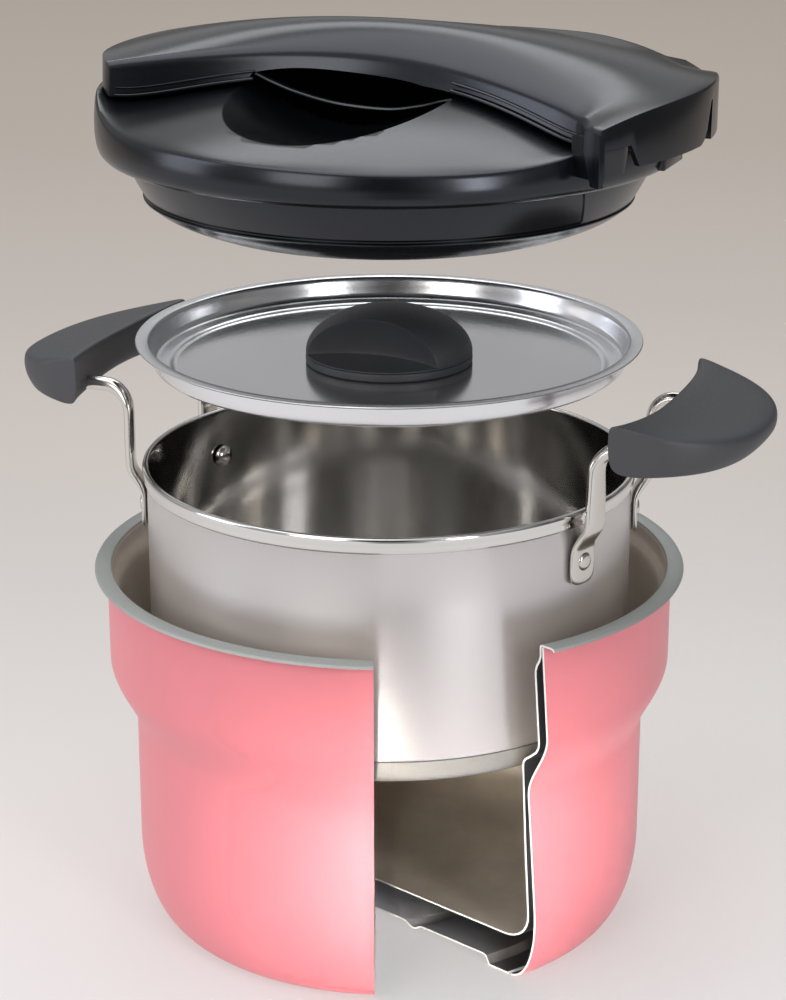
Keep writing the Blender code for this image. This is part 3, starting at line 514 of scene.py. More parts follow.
# ---------------------------------------------------------------- sizes and colours
class CookerSizes(bpy.types.PropertyGroup):
    rim_radius: FloatProperty(name="Rim radius", description="Outside radius of the container's flange",
                              default=120.4 * MM, unit="LENGTH")
    shell_upper: FloatProperty(name="Upper wall radius", description="Outside radius above the step",
                               default=115.3 * MM, unit="LENGTH")
    shell_lower: FloatProperty(name="Lower wall radius", description="Outside radius below the step",
                               default=105 * MM, unit="LENGTH")
    foot_radius: FloatProperty(name="Foot radius", description="Radius of the ring that stands on the table",
                               default=91.1 * MM, unit="LENGTH")
    pot_radius: FloatProperty(name="Pot radius", description="Outside radius of the pot's wall",
                              default=98.2 * MM, unit="LENGTH")
    pan_radius: FloatProperty(name="Lid radius", description="Radius of the inner lid's flange",
                              default=101.4 * MM, unit="LENGTH")
    knob_radius: FloatProperty(name="Knob radius", description="Radius of the inner lid's knob",
                               default=33.4 * MM, unit="LENGTH")
    rod_radius: FloatProperty(name="Rod radius", description="Radius of the handle rods",
                              default=3 * MM, unit="LENGTH")
    cover_radius: FloatProperty(name="Cover radius", description="Radius at which the outer lid turns down",
                                default=TURN_RADIUS, unit="LENGTH")
    band_edge: FloatProperty(name="Band edge rounding", description="Rounding of the grip band's long edges",
                             default=3 * MM, unit="LENGTH")
    steps: IntProperty(name="Steps round", description="Facets round each turned piece",
                       default=160, min=48, max=256)


class CookerColours(bpy.types.PropertyGroup):
    paint: FloatVectorProperty(name="Paint", description="Enamel on the container", subtype="COLOR",
                               default=linear("#E0808A")[:3], min=0, max=1)
    rim: FloatVectorProperty(name="Rim", description="Coated flange of the container", subtype="COLOR",
                             default=linear("#A7ABA8")[:3], min=0, max=1)
    liner: FloatVectorProperty(name="Liner", description="Warm brushed steel inside the container",
                               subtype="COLOR", default=linear("#E9DFD0")[:3], min=0, max=1)
    steel: FloatVectorProperty(name="Pot steel", description="Brushed steel of the pot", subtype="COLOR",
                               default=linear("#D6D2D2")[:3], min=0, max=1)
    pan_floor: FloatVectorProperty(name="Lid floor", description="Satin middle of the inner lid",
                                   subtype="COLOR", default=linear("#D3D3D5")[:3], min=0, max=1)
    slate: FloatVectorProperty(name="Slate", description="Bakelite of the grips and the knob", subtype="COLOR",
                               default=linear("#36373C")[:3], min=0, max=1)
    plastic: FloatVectorProperty(name="Plastic", description="Outer lid", subtype="COLOR",
                                 default=linear("#090A0D")[:3], min=0, max=1)
    floor: FloatVectorProperty(name="Floor", description="Pale floor near the cooker", subtype="COLOR",
                               default=linear("#EBE9E9")[:3], min=0, max=1)
    far: FloatVectorProperty(name="Far floor", description="Warm grey of the floor far off", subtype="COLOR",
                             default=linear("#BBB1A7")[:3], min=0, max=1)


# ---------------------------------------------------------------- container
def display_wedge():
    """The wedge that shows the walls: a block trimmed by two upright planes."""
    shape = bmesh.new()
    bmesh.ops.create_cube(shape, size=1)
    bmesh.ops.scale(shape, verts=shape.verts, vec=(500 * MM, 500 * MM, 162 * MM))
    bmesh.ops.translate(shape, verts=shape.verts, vec=(0, 0, 76 * MM))
    right_normal = direction(340 + 90)
    right_normal.rotate(Matrix.Rotation(math.radians(4.2), 3, direction(340)))
    for normal, offset, side in ((direction(292 + 90), 5.8 * MM, -1), (right_normal, 24.2 * MM, 1)):
        everything = shape.verts[:] + shape.edges[:] + shape.faces[:]
        done = bmesh.ops.bisect_plane(
            shape, geom=everything, plane_co=normal * -offset, plane_no=normal * side, clear_outer=True,
        )
        rim = [item for item in done["geom_cut"] if isinstance(item, bmesh.types.BMEdge)]
        bmesh.ops.edgenet_fill(shape, edges=rim)
    bmesh.ops.recalc_face_normals(shape, faces=shape.faces)
    return shape


class OBJECT_OT_cooker_shell(bpy.types.Operator):
    """Build the container's painted outer wall"""
    bl_idname = "object.cooker_shell"
    bl_label = "Outer Wall"

    def execute(self, context):
        sizes = context.scene.cooker_sizes
        upper, lower, foot = sizes.shell_upper, sizes.shell_lower, sizes.foot_radius
        top, step_top, step_low, curve = RIM_Z - 1.1 * MM, 113 * MM, 85 * MM, 34 * MM
        profile = [(upper, top), (upper, top - 12 * MM), (upper, step_top + 8 * MM)]
        profile += [
            (mix(upper, lower, smooth(index / 14)), mix(step_top, step_low, index / 14)) for index in range(15)
        ]
        profile += [(lower, step_low - 16 * MM), (lower, curve + 14 * MM)]
        profile += arc(foot, curve, lower - foot, curve, 0, -90, 16)
        # The wall's hidden side takes the cavity finish: painted shade, nearly black.
        slots = ("paint", "cavity", "cut")
        shape = spun(profile, sizes.steps, shown_left=True)
        shell = stand("painted_shell", shape, slots, "container", ["outer_shell"])
        walled(shell, METAL)
        cut_by(shell, cutter_from("wedge", display_wedge(), slots, 2))
        return {"FINISHED"}


class OBJECT_OT_cooker_liner(bpy.types.Operator):
    """Build the container's inner wall with its ledge and flange"""
    bl_idname = "object.cooker_liner"
    bl_label = "Liner"

    def execute(self, context):
        sizes = context.scene.cooker_sizes
        rim, floor = sizes.rim_radius, 19 * MM
        profile = [(0, floor), (44 * MM, floor)]
        profile += arc(88.9 * MM, floor + 12 * MM, 12 * MM, 12 * MM, -90, 0, 8)
        profile += [(radius * MM, level * MM) for radius, level in (
            (101.3, 60), (101.9, 82), (102.3, 97), (102.6, 99.4), (103.6, 101.1), (106.3, 103.2),
            (109, 105.6), (110.1, 107.6), (110.5, 110), (110.5, 138), (110.6, 140.3), (111.3, 142.6),
            (112.6, 144.9), (113.3, 147), (113.4, 149.5), (113.5, 151.2), (113.9, 151.8),
        )]
        profile += [(114.6 * MM, RIM_Z), (rim - 1.6 * MM, RIM_Z), (rim - 0.5 * MM, RIM_Z - 0.4 * MM),
                    (rim, RIM_Z - 1.3 * MM)]
        # The hidden side takes the cavity finish, painted shade; the floor's underside takes the floor-cavity finish,
        # painted light and shade.
        slots = ("liner", "cavity", "cut", "rim", "floor_cavity")
        liner = stand(
            "steel_liner", spun(profile, sizes.steps, shown_left=True), slots, "container", ["liner"],
        )
        walled(liner, METAL)
        flange = 113.6 * MM
        colour_faces(liner, lambda radius, height, lean: 3 if radius > flange and lean > -0.3 and height > RIM_Z - MM
                     else 4 if lean < -0.5 and height < floor + MM else None)
        cut_by(liner, cutter_from("wedge", display_wedge(), slots, 2))
        return {"FINISHED"}


class OBJECT_OT_cooker_base(bpy.types.Operator):
    """Build the container's base plate, its sealing cap and the getter's finish"""
    bl_idname = "object.cooker_base"
    bl_label = "Base Plate"

    def execute(self, context):
        sizes = context.scene.cooker_sizes
        outer = sizes.foot_radius - METAL
        profile = [(outer, 0.5 * MM), (outer - 0.6 * MM, 0), (outer - 10 * MM, 0)]
        profile += [(radius * MM, level * MM) for radius, level in (
            (79.6, 0.6), (78.8, 2.6), (78.3, 3.8), (77.2, 4.2), (60, 4.2), (47.4, 4.2), (46.4, 3.9),
            (44.4, 2.4), (43, 2), (41.6, 2.4), (39.6, 3.9), (38.6, 4.2), (20, 4.2), (3, 4.2),
        )]
        # The hidden side takes the floor-cavity finish: painted light and shade, pale to the left and dark to the
        # right.
        slots = ("base", "floor_cavity", "cut")
        base = stand(
            "pressed_base", spun(profile[::-1], sizes.steps), slots, "container", ["base_plate"],
        )
        lowest = min(base.data.polygons, key=lambda face: face.center.z)
        if lowest.normal.z > 0:
            base.data.flip_normals()
        walled(base, METAL)
        cut_by(base, cutter_from("wedge", display_wedge(), slots, 2))
        low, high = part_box("vacuum_seal")
        radius = (high.x - low.x) / 2
        seal = [(0, low.z), (radius - 0.6 * MM, low.z), (radius, low.z + 0.5 * MM), (radius, high.z), (0, high.z)]
        stand("sealing_cap", spun(seal, 48), ("base",), "container", ["vacuum_seal"])
        carry_over("getter", "getter")
        return {"FINISHED"}


def carry_over(node, made):
    """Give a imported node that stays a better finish."""
    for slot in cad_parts[node].material_slots:
        slot.material = finishes()[made]


# ---------------------------------------------------------------- pot
class OBJECT_OT_cooker_pot(bpy.types.Operator):
    """Build the pot with its rolled rim, its capped base and its core disc"""
    bl_idname = "object.cooker_pot"
    bl_label = "Pot"

    def execute(self, context):
        sizes = context.scene.cooker_sizes
        outer = sizes.pot_radius
        inner = outer - METAL
        top = POT_RIM_Z - POT_Z
        floor = 9.8 * MM
        profile = [(0, floor), (30 * MM, floor), (62 * MM, floor)]
        profile += arc(inner - 9 * MM, floor + 9 * MM, 9 * MM, 9 * MM, -90, 0, 10)
        profile += [(inner, 50 * MM), (inner, top - 12 * MM), (inner, top - 2 * MM)]
        profile += arc(outer - 0.05 * MM, top - 1.2 * MM, 0.75 * MM, 1.2 * MM, 180, 90, 4)
        profile += arc(98.7 * MM, top - 1.3 * MM, 1.25 * MM, 1.3 * MM, 90, 0, 5)
        profile += [(radius * MM, top - drop * MM) for radius, drop in (
            (99.95, 2.6), (99.6, 3.2), (99.55, 4.6), (99.5, 5.4), (99.1, 6.2), (98.4, 6.5),
        )]
        profile += [(outer, top - 6.8 * MM), (outer, 70 * MM), (outer, 30 * MM), (outer, 9.4 * MM),
                    (outer - 0.4 * MM, 9 * MM), (60 * MM, 9 * MM), (0, 9 * MM)]
        pot = stand(
            "drawn_pot", spun(profile, sizes.steps, POT_Z), ("pot_inside", "pot_wall", "bead"), "pot",
            ["pot_shell"],
        )
        bead = POT_RIM_Z - 6.6 * MM
        colour_faces(pot, lambda radius, height, lean: 2 if height > bead and radius > inner + 0.2 * MM
                     else 1 if radius > inner + 0.2 * MM or height < POT_Z + 9.5 * MM else 0)
        cap = outer - 0.2 * MM
        profile = [(0, 0), (40 * MM, 0), (cap - 3 * MM, 0)] + arc(cap - 3 * MM, 3 * MM, 3 * MM, 3 * MM, -80, 0, 8)
        profile += [(cap, 8.2 * MM), (cap - 0.3 * MM, 8.7 * MM), (cap - METAL, 8.7 * MM),
                    (cap - METAL, 4 * MM), (cap - 4 * MM, METAL), (0, METAL)]
        stand("base_cap", spun(profile, sizes.steps, POT_Z), ("cap",), "pot", ["pot_base_cap"])
        carry_over("pot_core_disc", "core")
        return {"FINISHED"}


def leg_stations(rod):
    """Places up one handle leg: radius, rise over the rim, run along X, width, thickness, squareness."""
    plate = 99.7 * MM
    leg = 105.4 * MM
    rows = [
        (plate, -29.8, 0, 5.6, 2.0, 2.4), (plate, -29.3, 0, 9.6, 2.3, 2.8), (plate, -28.2, 0, 12.6, 2.4, 3.4),
        (plate, -26.4, 0, 14.2, 2.4, 3.6), (plate, -22, 0, 14.5, 2.4, 3.6), (plate, -17, 0, 14.1, 2.4, 3.6),
        (plate + 0.2 * MM, -14.6, 0, 13.3, 2.6, 3.4), (plate + 1.4 * MM, -12.2, 0, 12.1, 3.4, 3.2),
        (mix(plate, leg, 0.5), -9.9, 0, 11.2, 3.8, 3), (leg - 1.2 * MM, -7.6, 0, 10.8, 4, 3),
        (leg, -5, 0, 10.8, 4, 3), (leg, 4, 0, 10.5, 4, 3), (leg, 12, 0, 9.5, 4.2, 2.8),
    ]
    stations = [(radius, rise * MM, run, width * MM, thick * MM, square) for radius, rise, run, width, thick, square
                in rows]
    bend = 10 * MM
    for index in range(9):
        turn = math.radians(90 * index / 8)
        share = index / 8
        stations.append((
            leg, 16.4 * MM + bend * math.sin(turn), bend * (1 - math.cos(turn)),
            mix(9 * MM, 2 * rod, smooth(share)), mix(4.2 * MM, 2 * rod, smooth(share)), mix(2.7, 2, share),
        ))
    return stations


def grip_inner(offset, tips):
    """Distance of a grip's inner side from the axis: it runs in towards the tips, to two given distances."""
    return mix(118.5 * MM, tips[offset > 0] * MM, (abs(offset) / GRIP_HALF) ** 3)


class OBJECT_OT_cooker_legs(bpy.types.Operator):
    """Build the pot's handle rods with their riveted plates"""
    bl_idname = "object.cooker_legs"
    bl_label = "Handle Rods"

    def execute(self, context):
        rod = context.scene.cooker_sizes.rod_radius
        for side, turn in HANDLES.items():
            for end, angle in (("front", -ROD_ANGLE), ("rear", ROD_ANGLE)):
                actual = end if side == "right" else {"front": "rear", "rear": "front"}[end]
                self.build(side, actual, angle, turn, rod)
        return {"FINISHED"}

    def build(self, side, end, angle, turn, rod):
        label = side + "_" + end
        points = []
        for radius, rise, run, width, thick, square in leg_stations(rod):
            share = min(run / (10 * MM), 1)
            rise += GRIP_LIFT[side] * smooth((rise - 4 * MM) / (8 * MM))
            centre = direction(angle) * radius + Vector((run, 0, POT_RIM_Z + rise))
            points.append((centre, direction(angle * (1 - share) + 90), width, thick, square))
        last = points[-1]
        inner = grip_inner(last[0].y, GRIP_TIPS[side])
        tip = inner + ROD_IN_GRIP
        points.append((Vector((mix(last[0].x, tip, 0.5), last[0].y, last[0].z)), *last[1:]))
        points.append((Vector((tip, last[0].y, last[0].z)), *last[1:]))
        rings = []
        for index, (centre, across, width, thick, square) in enumerate(points):
            before = points[max(index - 1, 0)][0]
            after = points[min(index + 1, len(points) - 1)][0]
            along = (after - before).normalized()
            rings.append(bar_ring(centre, along, across, width, thick, square))
        shape = bmesh.new()
        skin(shape, rings)
        spin_round(shape, turn)
        leg = stand("rod_" + label, shape, ("rod",), "pot", ["handle_leg_" + label])
        smoothed(leg, 1)
        facing = angle + turn
        rivet = [(0, 4.3 * MM), (2 * MM, 4.25 * MM), (3 * MM, 4 * MM), (3.6 * MM, 3.4 * MM),
                 (3.7 * MM, 2.9 * MM), (2 * MM, 2.8 * MM), (2 * MM, -1.3 * MM), (4.6 * MM, -1.3 * MM),
                 (4.5 * MM, -2 * MM), (3.5 * MM, -3.1 * MM), (1.7 * MM, -3.8 * MM), (0, -4 * MM)]
        shape = spun(rivet, 32)
        lie = Matrix.Rotation(math.radians(facing), 4, "Z") @ Matrix.Rotation(math.radians(90), 4, "Y")
        wall, sheet, drop = 98.2 * MM, 0.6 * MM, 20.6 * MM
        where = direction(facing) * (wall - sheet) + Vector((0, 0, POT_RIM_Z - drop))
        bmesh.ops.transform(shape, matrix=Matrix.Translation(where) @ lie, verts=shape.verts)
        stand("rivet_" + label, shape, ("rod",), "pot", ["handle_rivet_" + label])
        low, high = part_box("grip_screw_" + label)
        middle = (low + high) / 2
        middle.y = math.copysign(points[-1][0].y, middle.y)
        middle.z += GRIP_LIFT[side] + SCREW_RISE
        length = high.x - low.x
        middle.x = math.copysign(max(inner + SCREW_IN_GRIP + length / 2, abs(middle.x)), middle.x)
        pin = [(0, length / 2), (1.1 * MM, length / 2), (1.2 * MM, length / 2 - 0.2 * MM),
               (1.2 * MM, 0.2 * MM - length / 2), (1.1 * MM, -length / 2), (0.5 * MM, -length / 2),
               (0.4 * MM, 0.8 * MM - length / 2), (0, 0.8 * MM - length / 2)]
        if turn:
            pin = [(radius, -level) for radius, level in pin]
        shape = spun(pin, 24)
        lie = Matrix.Translation(middle) @ Matrix.Rotation(math.radians(90), 4, "Y")
        bmesh.ops.transform(shape, matrix=lie, verts=shape.verts)
        stand("screw_" + label, shape, ("rod",), "pot", ["grip_screw_" + label])


def spin_round(shape, turn):
    """Turn a shape round the upright axis, by degrees."""
    bmesh.ops.rotate(shape, verts=shape.verts, cent=(0, 0, 0), matrix=Matrix.Rotation(math.radians(turn), 3, "Z"))


def grip_ring(along, tips, lift):
    """Section of a grip at a share of its half length."""
    share = abs(along)
    y = along * GRIP_HALF
    inner = grip_inner(y, tips)
    tip = 126 * MM
    outer = tip + (156.9 * MM - tip) * max(1 - share ** 2.4, 0) ** 0.75
    top = 40.7 * MM
    inner_foot = 24.7 * MM
    bottom = top - mix(18 * MM, 20 * MM, smooth(share * 1.25))
    crease = top - 7 * MM * (outer - inner) / (38.5 * MM)
    back = -3 * MM * math.copysign(share ** 4, along)
    low = min(3 * MM, (outer - inner) / 4)
    ridge = mix(crease, bottom, 0.6)
    soft = 1.4 * MM
    clear = math.sqrt(RIM_CLEAR ** 2 - y * y)  # the lower inner edge passes over the container's rim
    outline = [
        (inner, inner_foot), (inner, top - soft), (inner + soft, top), (outer - 2 * soft, crease),
        (outer, crease - soft), (outer, ridge), (outer - low, bottom + soft), (outer - low - soft, bottom),
        (max(inner + soft, clear), bottom),
    ]
    span = outer - inner
    return [Vector((x, y + back * (x - inner) / span, z + lift + POT_RIM_Z)) for x, z in outline]


class OBJECT_OT_cooker_grips(bpy.types.Operator):
    """Build the pot's two moulded grips"""
    bl_idname = "object.cooker_grips"
    bl_label = "Grips"

    def execute(self, context):
        for side, turn in HANDLES.items():
            shares = [math.sin(math.radians(90 * (2 * index / 22 - 1))) for index in range(23)]
            shape = bmesh.new()
            skin(shape, [grip_ring(share, GRIP_TIPS[side], GRIP_LIFT[side]) for share in shares])
            spin_round(shape, turn)
            grip = stand(
                "grip_" + side, shape, ("slate",), "pot", ["handle_grip_" + side],
            )
            smoothed(grip, 3)
        return {"FINISHED"}


# ---------------------------------------------------------------- inner lid
class OBJECT_OT_cooker_pan(bpy.types.Operator):
    """Build the inner lid's pressed pan"""
    bl_idname = "object.cooker_pan"
    bl_label = "Inner Lid"

    def execute(self, context):
        sizes = context.scene.cooker_sizes
        edge = sizes.pan_radius
        profile = [(edge - 0.3 * MM, -0.35 * MM), (edge - 0.6 * MM, 0), (edge - 2 * MM, 0), (96.6 * MM, 0)]
        profile += [(radius * MM, level * MM) for radius, level in (
            (96.0, -0.3), (95.5, -1), (95.2, -2), (94.7, -4.4), (94.3, -6.6), (93.8, -8.2), (93.0, -9.0),
            (91.6, -9.35), (88.2, -9.4), (87.3, -9.6), (86.6, -10.2), (85.8, -10.7), (84.8, -10.8),
            (60, -10.8), (34, -10.8), (2.3, -10.8),
        )]
        pan = stand(
            "pressed_pan", spun(profile[::-1], sizes.steps, PAN_Z, shown_left=True),
            ("mirror", "mirror", "mirror", "pan_floor"), "inner_lid", ["inner_lid_pan"],
        )
        walled(pan, METAL)
        middle = PAN_Z - 10.6 * MM
        colour_faces(pan, lambda radius, height, lean: 3 if lean > 0.9 and height < middle + MM and
                     height > middle - 0.5 * MM and radius < 85 * MM else None)
        return {"FINISHED"}


class OBJECT_OT_cooker_knob(bpy.types.Operator):
    """Build the inner lid's knob, its washer and its screw"""
    bl_idname = "object.cooker_knob"
    bl_label = "Knob"

    def execute(self, context):
        radius = context.scene.cooker_sizes.knob_radius
        dome = 22.2 * MM - 3.8 * MM
        profile = arc(0, 3.8 * MM, radius, dome, 90, 3, 22)
        profile += [(radius - 0.1 * MM, 3.6 * MM), (radius - 0.8 * MM, 3.4 * MM), (radius - 0.1 * MM, 3.1 * MM),
                    (radius, 2.6 * MM), (radius, 0.5 * MM), (radius - 0.4 * MM, 0), (0, 0)]
        knob = stand("scooped_knob", spun(profile, 144, KNOB_Z), ("slate",), "inner_lid", ["lid_knob"])
        for side in (-1, 1):
            cut_by(knob, cutter_from("scoop", self.scoop(side), ("slate",), 0))
        rounded(knob, 0.5 * MM, 3, 28)
        low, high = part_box("knob_washer")
        wide = (high.x - low.x) / 2
        washer = [(2.4 * MM, low.z), (wide - 0.2 * MM, low.z), (wide, low.z + 0.2 * MM), (wide, high.z - 0.2 * MM),
                  (wide - 0.2 * MM, high.z), (2.4 * MM, high.z), (2.4 * MM, low.z)]
        stand("steel_washer", spun(washer, 48), ("rod",), "inner_lid", ["knob_washer"])
        low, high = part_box("knob_screw")
        wide = (high.x - low.x) / 2
        under = low.z + 2.4 * MM
        screw = [(0, low.z + 1 * MM), (1.2 * MM, low.z + 1 * MM), (1.3 * MM, low.z), (wide - 0.9 * MM, low.z),
                 (wide - 0.2 * MM, low.z + 0.6 * MM), (wide, under - 0.2 * MM), (wide - 0.2 * MM, under),
                 (2 * MM, under), (2 * MM, high.z - 0.3 * MM), (1.7 * MM, high.z), (0, high.z)]
        stand("steel_screw", spun(screw, 32), ("rod",), "inner_lid", ["knob_screw"])
        return {"FINISHED"}

    def scoop(self, side):
        """What a finger takes out beside the ridge: an undercut wall, bowed inwards, over a level shelf."""
        shape = bmesh.new()
        rings = []
        for index in range(33):
            x = mix(-40, 40, index / 32)
            bow = 0.0125 * x * x
            ring = []
            for step in range(11):
                share = step / 10
                wall = mix(9, 15.4, share ** 1.7) + bow
                ring.append(Vector((x, side * wall, mix(4.2, 20.5, share))) * MM)
            ring.append(Vector((x, side * (17.5 + bow), 26)) * MM)
            ring += [Vector((x, side * 60, 26)) * MM, Vector((x, side * 60, 3.9)) * MM]
            rings.append([point + Vector((0, 0, KNOB_Z)) for point in ring])
        skin(shape, rings)
        return shape


# ---------------------------------------------------------------- outer lid
def end_rise(x):
    """How much higher the cover's edge is than midway: it leans a little and sweeps up to both ends."""
    rise = 20 * MM if x < 0 else 15 * MM
    return rise * min(abs(x) / TURN_RADIUS, 0.9) ** 8 - 0.022 * x


def dome_height(x, y):
    """Height of the cover over its lower edge, before its scoops."""
    share = min(math.hypot(x, y) / TURN_RADIUS, 1)
    return mix(32 * MM, 14.9 * MM + end_rise(x), share * share)


class OBJECT_OT_cooker_cover(bpy.types.Operator):
    """Build the outer lid's domed cover with its two finger scoops"""
    bl_idname = "object.cooker_cover"
    bl_label = "Cover"

    def execute(self, context):
        sizes = context.scene.cooker_sizes
        turn = sizes.cover_radius
        rings = 26
        flat = [(turn * index / rings * 0.985, 0) for index in range(rings + 1)]
        side = [(111.7, 14.85), (112.4, 14.55), (112.9, 13.9), (113.3, 12.6), (113.7, 10.8), (114, 8.6),
                (114, 6.4), (113.6, 4.5), (112.8, 3), (111.4, 1.8), (109.2, 0.9), (106.6, 0.3), (104.4, 0.05)]
        profile = flat + [(radius * MM, level * MM) for radius, level in side]
        profile += [(100 * MM, 0.05 * MM), (60 * MM, 0.05 * MM), (0, 0.05 * MM)]
        shape = spun(profile, 192, 0)
        top = turn * 0.9851
        for vert in shape.verts:
            radius = vert.co.xy.length
            if vert.co.z == 0 and radius < top:
                vert.co.z = dome_height(vert.co.x, vert.co.y)
            elif radius > 100.5 * MM:
                vert.co.z += end_rise(vert.co.x) * smooth(vert.co.z / (14.8 * MM))
        bmesh.ops.recalc_face_normals(shape, faces=shape.faces)
        bmesh.ops.translate(shape, verts=shape.verts, vec=(0, 0, LID_Z))
        slots = ("plastic", "hollow")
        cover = stand("domed_cover", shape, slots, "outer_lid", ["lid_cover"])
        for side_sign in (-1, 1):
            cut_by(cover, cutter_from("scoop", self.scoop(side_sign), slots, 0))
        # Painted shade: the cover's top under the band takes the dead black inside finish.
        for face in cover.data.polygons:
            centre = face.center
            if abs(centre.y) < 23 * MM and abs(centre.x) < 100 * MM and centre.z > LID_Z + 12 * MM:
                face.material_index = 1
        tab = bmesh.new()
        bmesh.ops.create_cube(tab, size=1)
        bmesh.ops.scale(tab, verts=tab.verts, vec=(16.6 * MM, 24 * MM, 5.8 * MM))
        bmesh.ops.translate(tab, verts=tab.verts, vec=(106.6 * MM, 0, LID_Z + 5.9 * MM))
        bmesh.ops.bevel(
            tab, geom=tab.edges[:], offset=0.8 * MM, segments=3, profile=0.5, affect="EDGES", material=-1,
        )
        cut_by(cover, cutter_from("tab", tab, slots, 0), "UNION")
        carry_over("lid_insulation", "foam")
        return {"FINISHED"}

    def scoop(self, side):
        """A bowl that follows the dome: its crease is an oval from the band to near the edge."""
        shape = bmesh.new()
        bmesh.ops.create_uvsphere(shape, u_segments=96, v_segments=48, radius=1)
        for vert in shape.verts:
            x, y, z = vert.co
            out = min(math.hypot(x, y), 1)
            depth = -17.5 * MM * (1 - out * out) if z < 0 else 12 * MM * math.sqrt(1 - out * out)
            place_x = -4.2 * MM + x * 42.5 * MM
            place_y = -31 * MM + y * 65 * MM
            place_y = min(place_y, -8 * MM)
            vert.co = (place_x, -side * place_y, LID_Z + dome_height(place_x, place_y) + depth)
        bmesh.ops.remove_doubles(shape, verts=shape.verts, dist=MERGE)
        bmesh.ops.recalc_face_normals(shape, faces=shape.faces)
        return shape


class OBJECT_OT_cooker_plug(bpy.types.Operator):
    """Build the lower moulding of the outer lid, with the panel in its side"""
    bl_idname = "object.cooker_plug"
    bl_label = "Plug"

    def execute(self, context):
        depth = LID_Z - PLUG_Z
        side = [(103.5, 1.5), (103.5, 0), (103.3, -0.3), (103.2, -0.6), (102.2, -2.9), (101.2, -5), (99.9, -7.5),
                (98.6, -10), (97.1, -12.5), (96.4, -13.7), (96.2, -14), (95.7, -14.8), (96.2, -15.1),
                (96.15, -15.5), (95.3, -15.9), (94, -17.1), (92.4, -18.4), (90.3, -19.7), (87.6, -21.1),
                (84.6, -22.4), (81.4, -23.6), (78.6, -24.6)]
        profile = [(0, 1.5 * MM), (60 * MM, 1.5 * MM)] + [(radius * MM, level * MM) for radius, level in side]
        profile += [(77 * MM, -depth), (57 * MM, -depth), (55.6 * MM, 0.6 * MM - depth), (52 * MM, 12.4 * MM - depth),
                    (50.6 * MM, 14.2 * MM - depth), (48 * MM, 14.9 * MM - depth), (0, 14.9 * MM - depth)]
        shape = spun(profile, 192, LID_Z)
        self.recess_panel(shape)
        stand("lid_plug_moulding", shape, ("plastic",), "outer_lid", ["lid_plug"])
        return {"FINISHED"}

    def recess_panel(self, shape):
        """Sink a long panel into the front of the side, with a step round it."""
        low, high, inner = LID_Z - 13.9 * MM, LID_Z - 0.5 * MM, 90 * MM
        # In degrees from the front: the panel ends at half, and the rows on both sides are drawn up to it
        start, half, stop, lean, step = 58, 65, 78, 4.3, 1.875
        for vert in shape.verts:
            radius = vert.co.xy.length
            angle = math.degrees(math.atan2(vert.co.x, -vert.co.y))
            away = abs(angle)
            end = away
            if radius >= inner and start < away < stop:
                edge = half + lean * min(max((LID_Z - vert.co.z) / (14 * MM), 0), 1)
                if half - step <= away < half:
                    end = edge
                elif half <= away < half + step:
                    end = edge + 0.3
                elif away < half:
                    end = mix(start, edge, (away - start) / (half - start))
                else:
                    end = mix(edge + 0.3, stop, (away - half) / (stop - half))
            place = direction(math.copysign(end, angle) - 90)
            if low < vert.co.z < high and radius > inner and away < half:
                radius -= 0.6 * MM
            vert.co.x, vert.co.y = place.x * radius, place.y * radius


def crease_share(x):
    """Where the crease behind the crown runs, as a share of the band's half width."""
    line = 24 * MM + 33 * MM * max((x - 60 * MM) / (43.5 * MM), 0) ** 5
    return mix(0.6, min(line / band_half(x), 0.97), smooth(x / (40 * MM)))


def band_top(x, share):
    """Height of the grip band at a distance along it and a share of its half width."""
    along = x / (127 * MM)
    crown = 51.4 * MM - 18.5 * MM * along * along
    edge = 39.3 * MM - 0.046 * x - 13.9 * MM * along * along
    if share <= 0:
        return mix(crown, max(edge, 27 * MM), share * share)
    rear = 47.3 * MM - 26 * MM * along ** 4 - 7 * MM * (max(along - 0.5, 0) / 0.341) ** 2
    edge = max(mix(edge, rear, smooth(0.4 + 2 * along)), 26 * MM)
    fold = crease_share(x)
    valley = mix(crown, edge, fold * fold) - 0.8 * MM * smooth(x / (50 * MM)) * smooth((106 * MM - x) / (30 * MM))
    if share < fold:
        return mix(crown, valley, (share / fold) ** 2)
    return mix(valley, edge, (share - fold) / (1 - fold))


def band_half(x):
    """Half the band's width at a distance along it."""
    return 24 * MM + x * x / (320 * MM)


def band_end(side, reach, across):
    """Where the band ends at a share of its half width, on a round outline."""
    y = reach * math.sin(math.radians(WING_ANGLE)) * across
    return Vector((side * math.sqrt(reach * reach - y * y), y, 0))


def band_spot(share, across):
    """Plan position at a share along the band and a share from edge to edge."""
    left = band_end(-1, BAND_LEFT, across)
    right = band_end(1, BAND_RIGHT, across)
    last = 0.945
    if share > last:
        return right.lerp(band_end(1, WING_REACH, across), (share - last) / (1 - last))
    along = share / last
    x = mix(left.x, right.x, along)
    ends = mix(left.y, right.y, along)
    return Vector((x, across * min(band_half(x), abs(ends / across)) if across else 0, 0))


def lid_point(angle, radius, level):
    """A place on the outer lid by its angle in degrees and its radius and height in millimetres."""
    return direction(angle) * radius * MM + Vector((0, 0, LID_Z + level * MM))


def band_foot(spot):
    """Height of the band's lower edge: on the cover, or at the wing's skirt, lowest at its corners."""
    if spot.length > WING_START:
        angle = math.degrees(math.atan2(abs(spot.y), spot.x))
        return mix(12.3 * MM, 6.8 * MM, smooth((angle - 30.8) / 0.8))
    return dome_height(spot.x, spot.y) + 1.2 * MM


